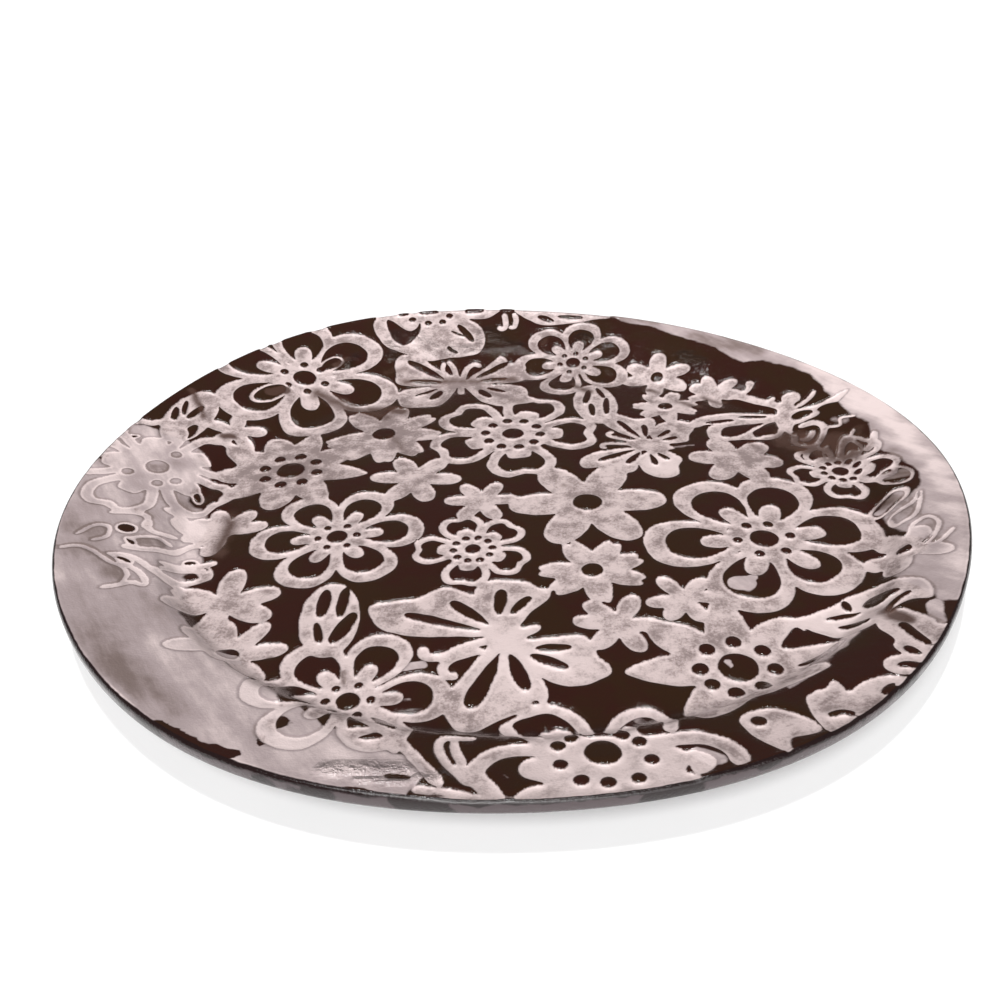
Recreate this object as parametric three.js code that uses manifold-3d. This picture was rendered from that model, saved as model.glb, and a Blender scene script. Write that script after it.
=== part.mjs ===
// A shallow hand-formed clay platter, uneven in outline, with a floral lace pattern pressed
// about a millimetre deep into its dark glazed face and running out over the rim.
// Millimetres, +Z up. The origin is the centre of the flat underside, +Y is the high side.
import * as THREE from "three";
import { mergeVertices } from "three/addons/utils/BufferGeometryUtils.js";
import Module from "manifold-3d";

const wasm = await Module();
wasm.setup();

// Body of the dish
const rimRadius = 171.2;          // mean radius of the outline
const rimWaves = [                // unevenness of the outline: lobes round it, swell, angle of a crest
  { lobes: 1, swell: 2.5, crest: -151 },
  { lobes: 2, swell: 4.1, crest: -20 },
  { lobes: 3, swell: 2.0, crest: 1 },
  { lobes: 4, swell: 1.4, crest: 25 },
  { lobes: 6, swell: 0.9, crest: 1 },
];
const rimHeight = 14.2;           // mean height of the rim over the floor
const rimWarp = [
  { lobes: 1, swell: 2.6, crest: 115 },
  { lobes: 2, swell: 0.8, crest: 120 },
];
const floorRadius = 127;          // mean radius of the flat floor
const floorWaves = [
  { lobes: 1, swell: 15, crest: -66 },
  { lobes: 2, swell: 7.5, crest: 0 },
];
const stepHeight = 3.4;           // mean height of the short steep rise at the floor's edge
const stepSwell = 2.6;            // how much higher it is at the near side, lower at the far side
const stepWidth = 10;
const floorThickness = 6;
const edgeThickness = 6;          // height of the rim's edge face
const edgeRound = 2;              // rounding of the edge's corners
const baseInset = 3;              // the underside starts to rise this far inside the floor's edge
const segments = 40;

// Pressed pattern
const reliefDepth = 0.9;
const cutClearance = 5;           // how far the cutters run past what they cut
const cornerWeld = 0.05;          // corners of the cut closer than this are one corner

const radians = THREE.MathUtils.degToRad;

function waves(list, angle) {
  let sum = 0;
  for (const wave of list) {
    sum += wave.swell * Math.cos(wave.lobes * (angle - radians(wave.crest)));
  }
  return sum;
}

const rimAt = (angle) => rimRadius + waves(rimWaves, angle);
const rimTop = (angle) => floorThickness + rimHeight + waves(rimWarp, angle);
const floorAt = (angle) => floorRadius + waves(floorWaves, angle);
const stepAt = (angle) => stepHeight - stepSwell * Math.sin(angle);
const smooth = (t) => t * t * (3 - 2 * t);

// Height of the upper face at a radius: flat floor, short rise, then an even slope to the rim.
function faceHeight(radius, angle) {
  const start = floorAt(angle);
  const along = THREE.MathUtils.clamp((radius - start) / (rimAt(angle) - start), 0, 1);
  const slope = (along < 0.2 ? (along * along) / 0.4 : along - 0.1) / 0.9;
  const rise = smooth(THREE.MathUtils.clamp((radius - start) / stepWidth, 0, 1));
  const step = stepAt(angle);
  return floorThickness + step * rise + (rimTop(angle) - floorThickness - step) * slope;
}

// Radii at which the upper face bends.
function faceRadii(angle) {
  const start = floorAt(angle);
  return [start, start + stepWidth, rimAt(angle) - edgeRound];
}

// Closed solid from rings of points; each profile runs from the axis at the bottom, out and
// round, to the axis at the top. The turn is in shares of a segment.
function ringSolid(profile, turn = 0) {
  const corners = [];
  const faces = [];
  const rows = [];
  const angleOf = (s) => (2 * Math.PI * (s + turn)) / segments;
  for (let s = 0; s < segments; s++) {
    rows.push(profile(angleOf(s)));
  }
  const rings = rows[0].length;
  const bottom = segments * rings;
  const top = bottom + 1;
  for (let s = 0; s < segments; s++) {
    const angle = angleOf(s);
    for (const [radius, height] of rows[s]) {
      corners.push(radius * Math.cos(angle), radius * Math.sin(angle), height);
    }
  }
  corners.push(0, 0, rows[0][0][1]);
  corners.push(0, 0, rows[0][rings - 1][1]);
  for (let s = 0; s < segments; s++) {
    const here = s * rings;
    const next = ((s + 1) % segments) * rings;
    faces.push(bottom, next, here);
    faces.push(top, here + rings - 1, next + rings - 1);
    for (let r = 0; r < rings - 1; r++) {
      faces.push(here + r, next + r, here + r + 1);
      faces.push(next + r, next + r + 1, here + r + 1);
    }
  }
  return new wasm.Manifold(
    new wasm.Mesh({
      numProp: 3,
      vertProperties: new Float32Array(corners),
      triVerts: new Uint32Array(faces),
    }),
  );
}

function dishProfile(angle) {
  const rim = rimAt(angle);
  const height = rimTop(angle);
  const base = floorAt(angle) - baseInset;
  const low = height - edgeThickness;
  const profile = [
    [base, 0],
    [rim - edgeRound, low],
    [rim, low + edgeRound],
    [rim, height - edgeRound],
  ];
  for (const radius of faceRadii(angle).reverse()) {
    profile.push([radius, faceHeight(radius, angle)]);
  }
  return profile;
}

// The layer that the pattern is cut from: from the pattern's ground up past the rim.
function layerProfile(angle) {
  const profile = [];
  for (const radius of faceRadii(angle)) {
    profile.push([radius, faceHeight(radius, angle) - reliefDepth]);
  }
  const past = rimAt(angle) + cutClearance;
  profile.push([past, rimTop(angle) - reliefDepth]);
  profile.push([past, floorThickness + rimHeight * 2]);
  return profile;
}

// A pattern piece is an outline standing upright through the whole dish.
function upright(points) {
  const outline = new THREE.Shape(points.map(([x, y]) => new THREE.Vector2(x, y)));
  const depth = floorThickness + rimHeight * 2 + 2 * cutClearance;
  const geometry = new THREE.ExtrudeGeometry(outline, { depth, bevelEnabled: false, steps: 1 });
  geometry.translate(0, 0, -cutClearance);
  geometry.deleteAttribute("normal");
  geometry.deleteAttribute("uv");
  const merged = mergeVertices(geometry, 1e-5);
  return new wasm.Manifold(
    new wasm.Mesh({
      numProp: 3,
      vertProperties: new Float32Array(merged.attributes.position.array),
      triVerts: new Uint32Array(merged.index.array),
    }),
  );
}

function placed(points, at, aim, scale = 1, side = 1) {
  const c = Math.cos(radians(aim));
  const s = Math.sin(radians(aim));
  const out = points.map(([x, y]) => [
    at[0] + scale * (x * c - side * y * s),
    at[1] + scale * (x * s + side * y * c),
  ]);
  return side < 0 ? out.reverse() : out;
}

// A petal along an aim, from a start to an end distance; base and tip say how blunt its ends
// are (0.5 round, 1 pointed), and a notch draws its tip in.
function petal(at, aim, start, end, half, base = 0.5, tip = 0.5, notch = 0, sides = 4) {
  const peak = base / (base + tip);
  const widest = peak ** base * (1 - peak) ** tip;
  const points = [[start, 0]];
  const width = (t) => (half * t ** base * (1 - t) ** tip) / widest;
  const stops = [];
  for (let k = 1; k < sides; k++) {
    stops.push((1 - Math.cos((Math.PI * k) / sides)) / 2);
  }
  for (const t of stops) {
    points.push([start + (end - start) * t, -width(t)]);
  }
  points.push([end - notch, 0]);
  for (const t of stops.reverse()) {
    points.push([start + (end - start) * t, width(t)]);
  }
  return placed(points, at, aim);
}

function round(at, radius, sides = 6) {
  const points = [];
  for (let k = 0; k < sides; k++) {
    const angle = (2 * Math.PI * (k + 0.5)) / sides;
    points.push([at[0] + radius * Math.cos(angle), at[1] + radius * Math.sin(angle)]);
  }
  return points;
}

function joined(outlines) {
  let solid = upright(outlines[0]);
  for (const outline of outlines.slice(1)) {
    solid = solid.add(upright(outline));
  }
  return solid;
}

const evenly = (count, turn) => Array.from({ length: count }, (_, k) => turn + (360 * k) / count);

// Flower whose petals are open loops round a centre with an eye.
function ringFlower(at, radius, aims) {
  const k = radius / 45;
  const petals = aims.map((aim) => petal(at, aim, 0, radius, 13.4 * k, 0.5, 0.42));
  const openings = aims.map((aim) => petal(at, aim, 14 * k, 36.5 * k, 8.4 * k, 0.9, 0.45, 0, 3));
  const core = joined(petals);
  return core.subtract(joined([round(at, 5.2 * k), ...openings]));
}

// Flower whose open loops are notched at the tip like a heart.
function scallopFlower(at, radius, aims) {
  const k = radius / 37;
  const petals = aims.map((aim) => petal(at, aim, 0, radius, 15 * k, 0.6, 0.3, 3 * k));
  const openings = aims.map((aim) => petal(at, aim, 15 * k, 33 * k, 9.3 * k, 0.6, 0.25, 3 * k, 3));
  const core = joined(petals);
  return core.subtract(joined([round(at, 4.8 * k), ...openings]));
}

// Full petals, pointed and round in turn, round a centre with an eye.
function starDaisy(at, radius, aims) {
  const k = radius / 33;
  const petals = aims.map((aim, index) =>
    index % 2 === 0
      ? petal(at, aim, 0, 35 * k, 7.6 * k, 0.45, 0.8, 0, 3)
      : petal(at, aim, 0, 32 * k, 7.8 * k, 0.5, 0.5, 0, 3),
  );
  return joined(petals).subtract(upright(round(at, 6.2 * k)));
}

// Full petals of one kind; the eye is left out where its radius is 0.
function plainFlower(at, radius, aims, eye = 0, width = 0.24, notch = 0) {
  const petals = aims.map((aim) =>
    petal(at, aim, -0.12 * radius, radius, width * radius, 0.5, 0.45, notch * radius, 3),
  );
  const flower = joined(petals);
  return eye ? flower.subtract(upright(round(at, eye))) : flower;
}

// Butterfly along its head's aim, drawn for a fore wing that reaches 47 mm from the body.
const wingReach = 47;
const foreWing = [[5, 5], [31, 19], [35, 28], [31, 36], [13, 31], [6, 35], [1, 29], [2, 13]];
const hindWing = [[-5, 4], [-14, 5], [-22, 12], [-23, 28], [-17, 35], [-7, 34], [0, 26], [2, 14]];
const wingSlots = [
  { from: [6, 7], to: [25, 26], half: 2.4 },
  { from: [3, 9], to: [8, 25], half: 2.4 },
  { from: [-4, 10], to: [-12, 20], half: 2.4 },
];
const feeler = [[6, 0.3], [21, 1.5], [28, 6], [25, 11], [23.5, 7], [6, 4]];

function butterfly(at, reach, head, feelers = true) {
  const k = reach / wingReach;
  const parts = [petal(at, head, -14 * k, 13 * k, 7.5 * k, 0.5, 0.5, 0, 3)];
  const slots = [];
  for (const side of [-1, 1]) {
    parts.push(placed(foreWing, at, head, k, side));
    parts.push(placed(hindWing, at, head, k, side));
    if (feelers) {
      parts.push(placed(feeler, at, head, k, side));
    }
    for (const slot of wingSlots) {
      const [from, to] = placed([slot.from, slot.to], at, head, k, side)
        .sort((a, b) => Math.hypot(a[0] - at[0], a[1] - at[1]) - Math.hypot(b[0] - at[0], b[1] - at[1]));
      const aim = THREE.MathUtils.radToDeg(Math.atan2(to[1] - from[1], to[0] - from[0]));
      const length = Math.hypot(to[0] - from[0], to[1] - from[1]);
      slots.push(petal(from, aim, 0, length, slot.half * k, 0.8, 0.4, 0, 2));
    }
  }
  return joined(parts).subtract(joined(slots));
}

// Leaf with two pairs of slots beside its midrib.
function leaf(at, aim, length, half) {
  const along = placed([[-length / 2, 0]], at, aim)[0];
  const slots = [];
  for (const side of [-1, 1]) {
    for (const [from, to] of [[0.12, 0.46], [0.52, 0.86]]) {
      const start = placed([[0, side * half * 0.4]], along, aim)[0];
      slots.push(petal(start, aim, from * length, to * length, half * 0.22, 0.6, 0.6, 0, 2));
    }
  }
  return upright(petal(along, aim, 0, length, half, 0.55, 0.6, 0, 5)).subtract(joined(slots));
}

const stray = (at, aim, length, half) => upright(petal(at, aim, 0, length, half));

// The pattern as it lies on the dish: places, sizes and the aims of uneven petals.
const pattern = [
  ringFlower([94.5, -42], 46, [6, 68, 117, 181, 248, 295]),
  ringFlower([-68.5, -27], 34, evenly(6, 6)),
  ringFlower([-54, -117], 32, [1, 68, 128, 178, 236, 300]),
  ringFlower([-100, 104], 48, [-15, 49, 99, 164, 225, 284]),
  ringFlower([37, 118], 31, [17, 72, 125, 183, 247, 320]),
  scallopFlower([3, 50.5], 38, [-5, 66, 139, 204, 276]),
  scallopFlower([-15.5, -39.5], 22.5, [-32, 43, 106, 178, 260]),
  scallopFlower([20, -149], 35, [-7, 57, 121, 189, 270]),
  plainFlower([-150, 19], 36, evenly(5, -36), 4.7, 0.4, 0.08),
  scallopFlower([138.5, 4], 21.5, evenly(5, -28)),
  scallopFlower([-38, 165], 37, evenly(5, 17)),
  starDaisy([-95.5, 26], 33, [-9, 32, 78, 113, 147, 185, 220, 264, 304]),
  starDaisy([68, -110], 33, [180, 138, 88, 40, 5, -40, -82, -125]),
  plainFlower([31, -10.5], 32, evenly(6, 0), 6, 0.25),
  plainFlower([28, -56], 20.5, [178, 112, 58, 18, -24, -85, -142], 4, 0.25, 0.12),
  plainFlower([-57, 56], 28, [75, 34, -8, -50, -85, 198, 236, 128], 5.5, 0.22, 0.08),
  plainFlower([77, 71], 16.5, [118, 175, 218, 270, 328, 8, 62], 3.4, 0.25, 0.12),
  plainFlower([77.5, 99], 17.5, [140, 78, 10, -45, -105, 182], 3.2, 0.25),
  plainFlower([-96, -94], 17, [56, 0, -45, -120, 173, 115], 3.4, 0.25),
  plainFlower([139, -60], 15.5, [100, 42, -30, 190, 235], 3, 0.27),
  plainFlower([-40, 14.5], 20, [172, 116, 52, -8, -72, -122]),
  plainFlower([-12, -6], 15.5, [175, 120, 60, 3, -65, -125]),
  plainFlower([34, -86], 16, [173, 133, 63, -12, -70, -128]),
  plainFlower([58, -74.5], 14, [190, 120, 48, 0, -72, -125]),
  plainFlower([98, 18], 20, [168, 232, 108, 38, -14, -66], 0, 0.28),
  plainFlower([-104, -66], 20, [-15, 30, 92, 150, 190, -92], 0, 0.26),
  plainFlower([-114, -20], 16, [78, 0, -85, 140, 190], 0, 0.27),
  plainFlower([102, 79.5], 13, [100, 22, -25, -95, 190, 140], 0, 0.26),
  plainFlower([-129, 60], 15, evenly(5, 20), 0, 0.26),
  butterfly([-5, -89.5], 48, 207),
  butterfly([63, 34], 35, 160),
  butterfly([-22, 107], 40, 90, false),
  butterfly([129, 50], 44, 100, false),
  butterfly([121, -93], 33, 100, false),
  leaf([-65, -77], 94, 39, 10),
  leaf([44, 80], 92, 40, 9.5),
  leaf([-146, 60], 78, 44, 10),
  stray([68, -154], 82, 17, 8),
  stray([83, -149], 62, 20, 7),
  stray([96, -140], 30, 17, 5),
  stray([-24, -158], 122, 36, 2.4),
  stray([-20, -154], 108, 16, 2.2),
];

let pressed = pattern[0];
for (const piece of pattern.slice(1)) {
  pressed = pressed.add(piece);
}

const dish = ringSolid(dishProfile);
const platterSolid = dish.subtract(pressed.intersect(ringSolid(layerProfile, 0.5)));

// Corners nearer to each other than the weld along an edge become one, and the faces that
// vanish with them are dropped.
function welded(solid, weld) {
  const mesh = solid.getMesh();
  const place = mesh.vertProperties;
  const faces = mesh.triVerts;
  const parent = Array.from({ length: place.length / 3 }, (_, index) => index);
  const rootOf = (index) => {
    while (parent[index] !== index) {
      index = parent[index];
    }
    return index;
  };
  const gap = (a, b) => Math.hypot(...[0, 1, 2].map((axis) => place[3 * a + axis] - place[3 * b + axis]));
  for (let f = 0; f < faces.length; f += 3) {
    for (let side = 0; side < 3; side++) {
      const a = faces[f + side];
      const b = faces[f + ((side + 1) % 3)];
      if (gap(a, b) < weld) {
        parent[rootOf(b)] = rootOf(a);
      }
    }
  }
  const kept = [];
  for (let f = 0; f < faces.length; f += 3) {
    const corners = [rootOf(faces[f]), rootOf(faces[f + 1]), rootOf(faces[f + 2])];
    if (new Set(corners).size === 3) {
      kept.push(corners);
    }
  }
  const facing = new Map();
  for (const corners of kept) {
    const key = [...corners].sort((a, b) => a - b).join();
    facing.set(key, (facing.get(key) ?? 0) + 1);
  }
  const single = kept.filter((corners) => facing.get([...corners].sort((a, b) => a - b).join()) === 1);
  const geometry = new THREE.BufferGeometry();
  geometry.setAttribute("position", new THREE.BufferAttribute(new Float32Array(place), 3));
  geometry.setIndex(new THREE.BufferAttribute(new Uint32Array(single.flat()), 1));
  return geometry;
}

const platterGeometry = welded(platterSolid, cornerWeld);
platterGeometry.computeVertexNormals();

const glazedClay = new THREE.MeshStandardMaterial({ color: "#4a2c20", roughness: 0.25, metalness: 0 });
const platter = new THREE.Mesh(platterGeometry, glazedClay);
platter.name = "platter";

const object = new THREE.Group();
object.name = "decorative_platter";
object.add(platter);

export default object;
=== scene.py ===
"""A hand-formed clay platter with a floral lace pattern pressed into its dark glazed face."""

import math

import bmesh
import bpy
import numpy as np
from bpy.props import FloatProperty, FloatVectorProperty, IntProperty, PointerProperty
from bpy.types import Operator, Panel, PropertyGroup
from mathutils import Matrix, Vector, noise
from mathutils.geometry import delaunay_2d_cdt
from mathutils.kdtree import KDTree


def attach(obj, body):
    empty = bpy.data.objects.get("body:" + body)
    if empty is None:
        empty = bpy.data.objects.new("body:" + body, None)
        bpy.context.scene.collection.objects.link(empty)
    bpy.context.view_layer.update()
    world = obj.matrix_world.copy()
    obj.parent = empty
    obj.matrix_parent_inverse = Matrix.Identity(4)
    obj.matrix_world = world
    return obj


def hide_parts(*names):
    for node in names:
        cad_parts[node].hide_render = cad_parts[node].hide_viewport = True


bl_info = {
    "name": "Lace Platter",
    "version": (1, 0, 0),
    "blender": (4, 5, 0),
    "location": "View3D > Sidebar > Platter",
    "description": "Builds a glazed clay platter with a pressed floral lace pattern",
    "category": "Add Mesh",
}

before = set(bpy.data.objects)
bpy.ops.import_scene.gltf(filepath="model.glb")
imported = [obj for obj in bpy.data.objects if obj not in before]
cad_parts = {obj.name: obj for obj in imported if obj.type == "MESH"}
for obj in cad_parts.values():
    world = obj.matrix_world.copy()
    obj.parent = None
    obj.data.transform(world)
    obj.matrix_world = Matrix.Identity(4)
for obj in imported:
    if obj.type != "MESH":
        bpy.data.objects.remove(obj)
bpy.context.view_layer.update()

MM = 0.001  # the pattern and the profile are drawn in millimetres, Blender works in metres
FLOOD_FILL = 0.7  # share of the relief's depth that the flood of glaze fills
HAND_SWELL, HAND_SWELL_SIZE = 0.1, 16  # unevenness of the hand-formed face in mm


# Shape of the dish

RIM_WAVES = [(1, 2.5, -151), (2, 4.1, -20), (3, 2.0, 1), (4, 1.4, 25), (6, 0.9, 1)]
RIM_WARP = [(1, 2.6, 115), (2, 0.8, 120)]
FLOOR_WAVES = [(1, 15, -66), (2, 7.5, 0)]


def waves(rows, angle):
    """Unevenness round the dish: lobes, swell in mm and the angle of a crest in degrees."""
    total = 0.0
    for lobes, swell, crest in rows:
        total = total + swell * np.cos(lobes * (angle - math.radians(crest)))
    return total


def smooth(share):
    share = np.clip(share, 0, 1)
    return share * share * (3 - 2 * share)


class Dish:
    """The profile of the dish in mm, from the sizes in the panel."""

    def __init__(self, sizes):
        self.rim_radius = sizes.rim_radius / MM
        self.rim_height = sizes.rim_height / MM
        self.floor_radius = sizes.floor_radius / MM
        self.step_height = sizes.step_height / MM
        self.step_swell = sizes.step_swell / MM
        self.step_width = sizes.step_width / MM
        self.floor_thickness = sizes.floor_thickness / MM
        self.edge_thickness = sizes.edge_thickness / MM
        self.edge_round = sizes.edge_round / MM
        self.base_inset = sizes.base_inset / MM
        self.relief_depth = sizes.relief_depth / MM
        self.relief_slope = sizes.relief_slope / MM

    def rim(self, angle):
        return self.rim_radius + waves(RIM_WAVES, angle)

    def top(self, angle):
        return self.floor_thickness + self.rim_height + waves(RIM_WARP, angle)

    def floor(self, angle):
        return self.floor_radius + waves(FLOOR_WAVES, angle)

    def step(self, angle):
        return self.step_height - self.step_swell * np.sin(angle)

    def height(self, radius, angle):
        """Height of the ground: flat floor, short rise, then an even slope to the rim."""
        start = self.floor(angle)
        along = np.clip((radius - start) / (self.rim(angle) - start), 0, 1)
        slope = np.where(along < 0.2, along * along / 0.4, along - 0.1) / 0.9
        rise = smooth((radius - start) / self.step_width)
        step = self.step(angle)
        return self.floor_thickness + step * rise + (self.top(angle) - self.floor_thickness - step) * slope

    def sunk(self, gap):
        """How far the face lies under its ground at a distance inside the lace's border."""
        return self.relief_depth * smooth((gap + self.relief_slope) / (2 * self.relief_slope))


# Outlines of the lace, in mm and degrees


def petal(at, aim, start, end, half, base=0.5, tip=0.5, lobes=1, notch=0.0, count=20):
    """A petal along an aim; base and tip say how blunt its ends are, and lobes part its tip."""
    peak = base / (base + tip)
    widest = peak**base * (1 - peak) ** tip
    stops = [(1 - math.cos(2 * math.pi * k / count)) / 2 for k in range(count // 2 + 1)]
    walk = [(t, 1) for t in stops] + [(t, -1) for t in reversed(stops[1:-1])]
    points = []
    for t, hand in walk:
        across = hand * (t**base * (1 - t) ** tip / widest) if 0 < t < 1 else 0.0
        along = start + (end - start) * t
        if lobes > 1 and t > 0.55:
            weight = min(1, (t - 0.55) / 0.2)
            along -= notch * weight * (1 - abs(math.sin(math.pi * lobes * (across + 1) / 2)))
        points.append((along, across * half))
    return placed(points, at, aim)


def placed(points, at, aim, scale=1.0, side=1):
    """Points moved to a place, turned to an aim, scaled, and mirrored where side is -1."""
    c, s = math.cos(math.radians(aim)), math.sin(math.radians(aim))
    return [
        (at[0] + scale * (x * c - side * y * s), at[1] + scale * (x * s + side * y * c))
        for x, y in points
    ]


def disc(at, radius, count=18):
    steps = [2 * math.pi * k / count for k in range(count)]
    return [(at[0] + radius * math.cos(a), at[1] + radius * math.sin(a)) for a in steps]


def toward(at, aim, reach):
    return at[0] + reach * math.cos(math.radians(aim)), at[1] + reach * math.sin(math.radians(aim))


def evenly(count, turn):
    return [turn + 360 * k / count for k in range(count)]


def curved(points, closed, steps=3):
    """A smooth run through a few points."""
    count = len(points)
    run = []
    for i in range(count if closed else count - 1):
        if closed:
            p = [points[(i + j - 1) % count] for j in range(4)]
        else:
            p = [points[min(count - 1, max(0, i + j - 1))] for j in range(4)]
        for k in range(steps):
            t = k / steps
            run.append(
                tuple(
                    0.5
                    * (
                        2 * p[1][c]
                        + (p[2][c] - p[0][c]) * t
                        + (2 * p[0][c] - 5 * p[1][c] + 4 * p[2][c] - p[3][c]) * t * t
                        + (3 * p[1][c] - p[0][c] - 3 * p[2][c] + p[3][c]) * t**3
                    )
                    for c in (0, 1)
                )
            )
    return run if closed else run + [points[-1]]


def stroke(points, half):
    """A line of even width, drawn in towards its ends."""
    run = curved(points, False)
    last = len(run) - 1
    left, right = [], []
    for k, (x, y) in enumerate(run):
        (x0, y0), (x1, y1) = run[max(0, k - 1)], run[min(last, k + 1)]
        length = math.hypot(x1 - x0, y1 - y0)
        width = half * (0.45 if k in (0, last) else 1)
        nx, ny = -(y1 - y0) / length * width, (x1 - x0) / length * width
        left.append((x + nx, y + ny))
        right.append((x - nx, y - ny))
    return left + right[::-1]


# A motif is a list of (lace or ground, outline), laid one on another in order.
LACE, GROUND = True, False


def ring_flower(at, radius, aims, tongues=(), short=()):
    """Open looped petals, each with a tongue, round an eye with a ring of dots."""
    k = radius / 45
    ends = [39 * k if aim in short else 45 * k for aim in aims]
    motif = [
        (LACE, petal(at, aim, 6 * k, end, 15 * k, 0.75, 0.45, count=26)) for aim, end in zip(aims, ends)
    ]
    motif.append((LACE, disc(at, 13 * k)))
    motif += [
        (GROUND, petal(at, aim, 10 * k, end - 8 * k, 9.9 * k, 0.85, 0.48, count=24))
        for aim, end in zip(aims, ends)
    ]
    motif += [(LACE, petal(at, aim, 5 * k, 24 * k, 4.2 * k, 0.7, 0.38, count=18)) for aim in aims]
    motif += [(GROUND, petal(at, aim, 11 * k, 22.7 * k, 3.2 * k, 0.5, 0.42, count=16)) for aim in tongues]
    motif.append((GROUND, disc(at, 5.4 * k, 22)))
    motif += [(GROUND, disc(toward(at, aim, 10 * k), 1.7 * k + 0.35, 12)) for aim in aims]
    return motif


def scallop_flower(at, radius, aims, dots=None, eye=4.8, dot=2.0, ring=12.4):
    """Open petals parted at the tip, each with a three-lobed tongue, round an eye with dots."""
    k = radius / 37
    motif = [(LACE, petal(at, aim, 4 * k, 38 * k, 15 * k, 0.8, 0.33, 2, 2.2 * k, 28)) for aim in aims]
    motif.append((LACE, disc(at, 17 * k)))
    motif += [
        (GROUND, petal(at, aim, 12.5 * k, 33.5 * k, 10.2 * k, 0.7, 0.28, 2, 2.2 * k, 28)) for aim in aims
    ]
    motif += [(LACE, petal(at, aim, 8 * k, 22.5 * k, 5.7 * k, 0.5, 0.22, 3, 1.8 * k, 28)) for aim in aims]
    motif.append((GROUND, disc(at, eye * k, 20)))
    for aim in evenly(10, aims[0]) if dots is None else dots:
        motif.append((GROUND, disc(toward(at, aim, ring * k), dot * k + 0.35, 12)))
    return motif


def star_daisy(at, radius, aims, dots, ring=12):
    """Full petals, pointed and round in turn, round an eye with dots."""
    k = radius / 33
    motif = []
    for index, aim in enumerate(aims):
        if index % 2 == 0:
            motif.append((LACE, petal(at, aim, 2 * k, 35 * k, 7.4 * k, 0.5, 0.8)))
        else:
            motif.append((LACE, petal(at, aim, 2 * k, 32 * k, 7.6 * k, 0.6, 0.5)))
    motif.append((LACE, disc(at, 16 * k)))
    motif.append((GROUND, disc(at, 6.2 * k, 22)))
    motif += [(GROUND, disc(toward(at, aim, ring * k), 2.4 * k + 0.2, 14)) for aim in dots]
    return motif


def plain_flower(at, radius, aims, eye=0.0, width=0.24, notch=0.0):
    """Full petals of one kind; the eye is left out where its radius is 0."""
    lobes = 2 if notch else 1
    motif = [
        (LACE, petal(at, aim, 0, radius, width * radius, 0.6, 0.45, lobes, notch * radius, 22))
        for aim in aims
    ]
    motif.append((LACE, disc(at, (0.36 if eye else 0.26) * radius)))
    if eye:
        motif.append((GROUND, disc(at, eye)))
    return motif


def blade(x0, y0, x1, y1, half, kind=LACE, base=0.5, tip=0.5):
    """A petal or a slot between two points."""
    aim = math.degrees(math.atan2(y1 - y0, x1 - x0))
    return kind, petal((x0, y0), aim, 0, math.hypot(x1 - x0, y1 - y0), half, base, tip, count=16)


def form(points, kind=LACE):
    """A free form through a few points."""
    return kind, curved(points, True)


def thread(points, half, kind=LACE):
    """A line of lace or of ground through a few points."""
    return kind, stroke(points, half)


WING_REACH = 47
FORE_WING = [(5, 5), (20, 11), (31, 19), (35, 28), (31, 36), (22, 33), (13, 31), (6, 35), (1, 29), (2, 13)]
HIND_WING = [(-5, 4), (-13, 5), (-22, 11), (-21, 19), (-23, 28), (-17, 35), (-7, 34), (0, 26), (2, 14)]
FEELER = [(7, 1.5), (14, 2.5), (21, 3.5), (26, 6), (26, 9.5), (23, 10)]
WING_SLOTS = [
    ((6, 7), (25, 26), 2.2),
    ((3, 9), (8, 25), 2.2),
    ((-3, 10), (-9, 22), 2.0),
    ((-6.5, 8), (-15, 14), 1.8),
]


def butterfly(at, reach, head):
    """A butterfly with slotted wings, drawn along its head's aim."""
    k = reach / WING_REACH
    motif = []
    for side in (-1, 1):
        for part in (curved(FORE_WING, True), curved(HIND_WING, True), stroke(FEELER, 1.6)):
            motif.append((LACE, placed(part, at, head, k, side)))
    motif.append((LACE, petal(at, head, -14 * k, 13 * k, 7.5 * k)))
    motif.append((LACE, petal(at, head + 180, 4 * k, 16 * k, 2 * k)))
    for side in (-1, 1):
        for start, end, half in WING_SLOTS:
            (x0, y0), (x1, y1) = placed([start, end], at, head, k, side)
            aim = math.degrees(math.atan2(y1 - y0, x1 - x0))
            length = math.hypot(x1 - x0, y1 - y0)
            motif.append((GROUND, petal((x0, y0), aim, 0, length, half * k, 0.8, 0.4, count=16)))
    return motif


def leaf(at, aim, length, half, slots):
    """A leaf with slots beside its midrib."""
    tail = toward(at, aim, -length / 2)
    motif = [(LACE, petal(tail, aim, 0, length, half, 0.5, 0.5, count=26))]
    return motif + [blade(*slot, GROUND, 0.45, 0.45) for slot in slots]


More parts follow.
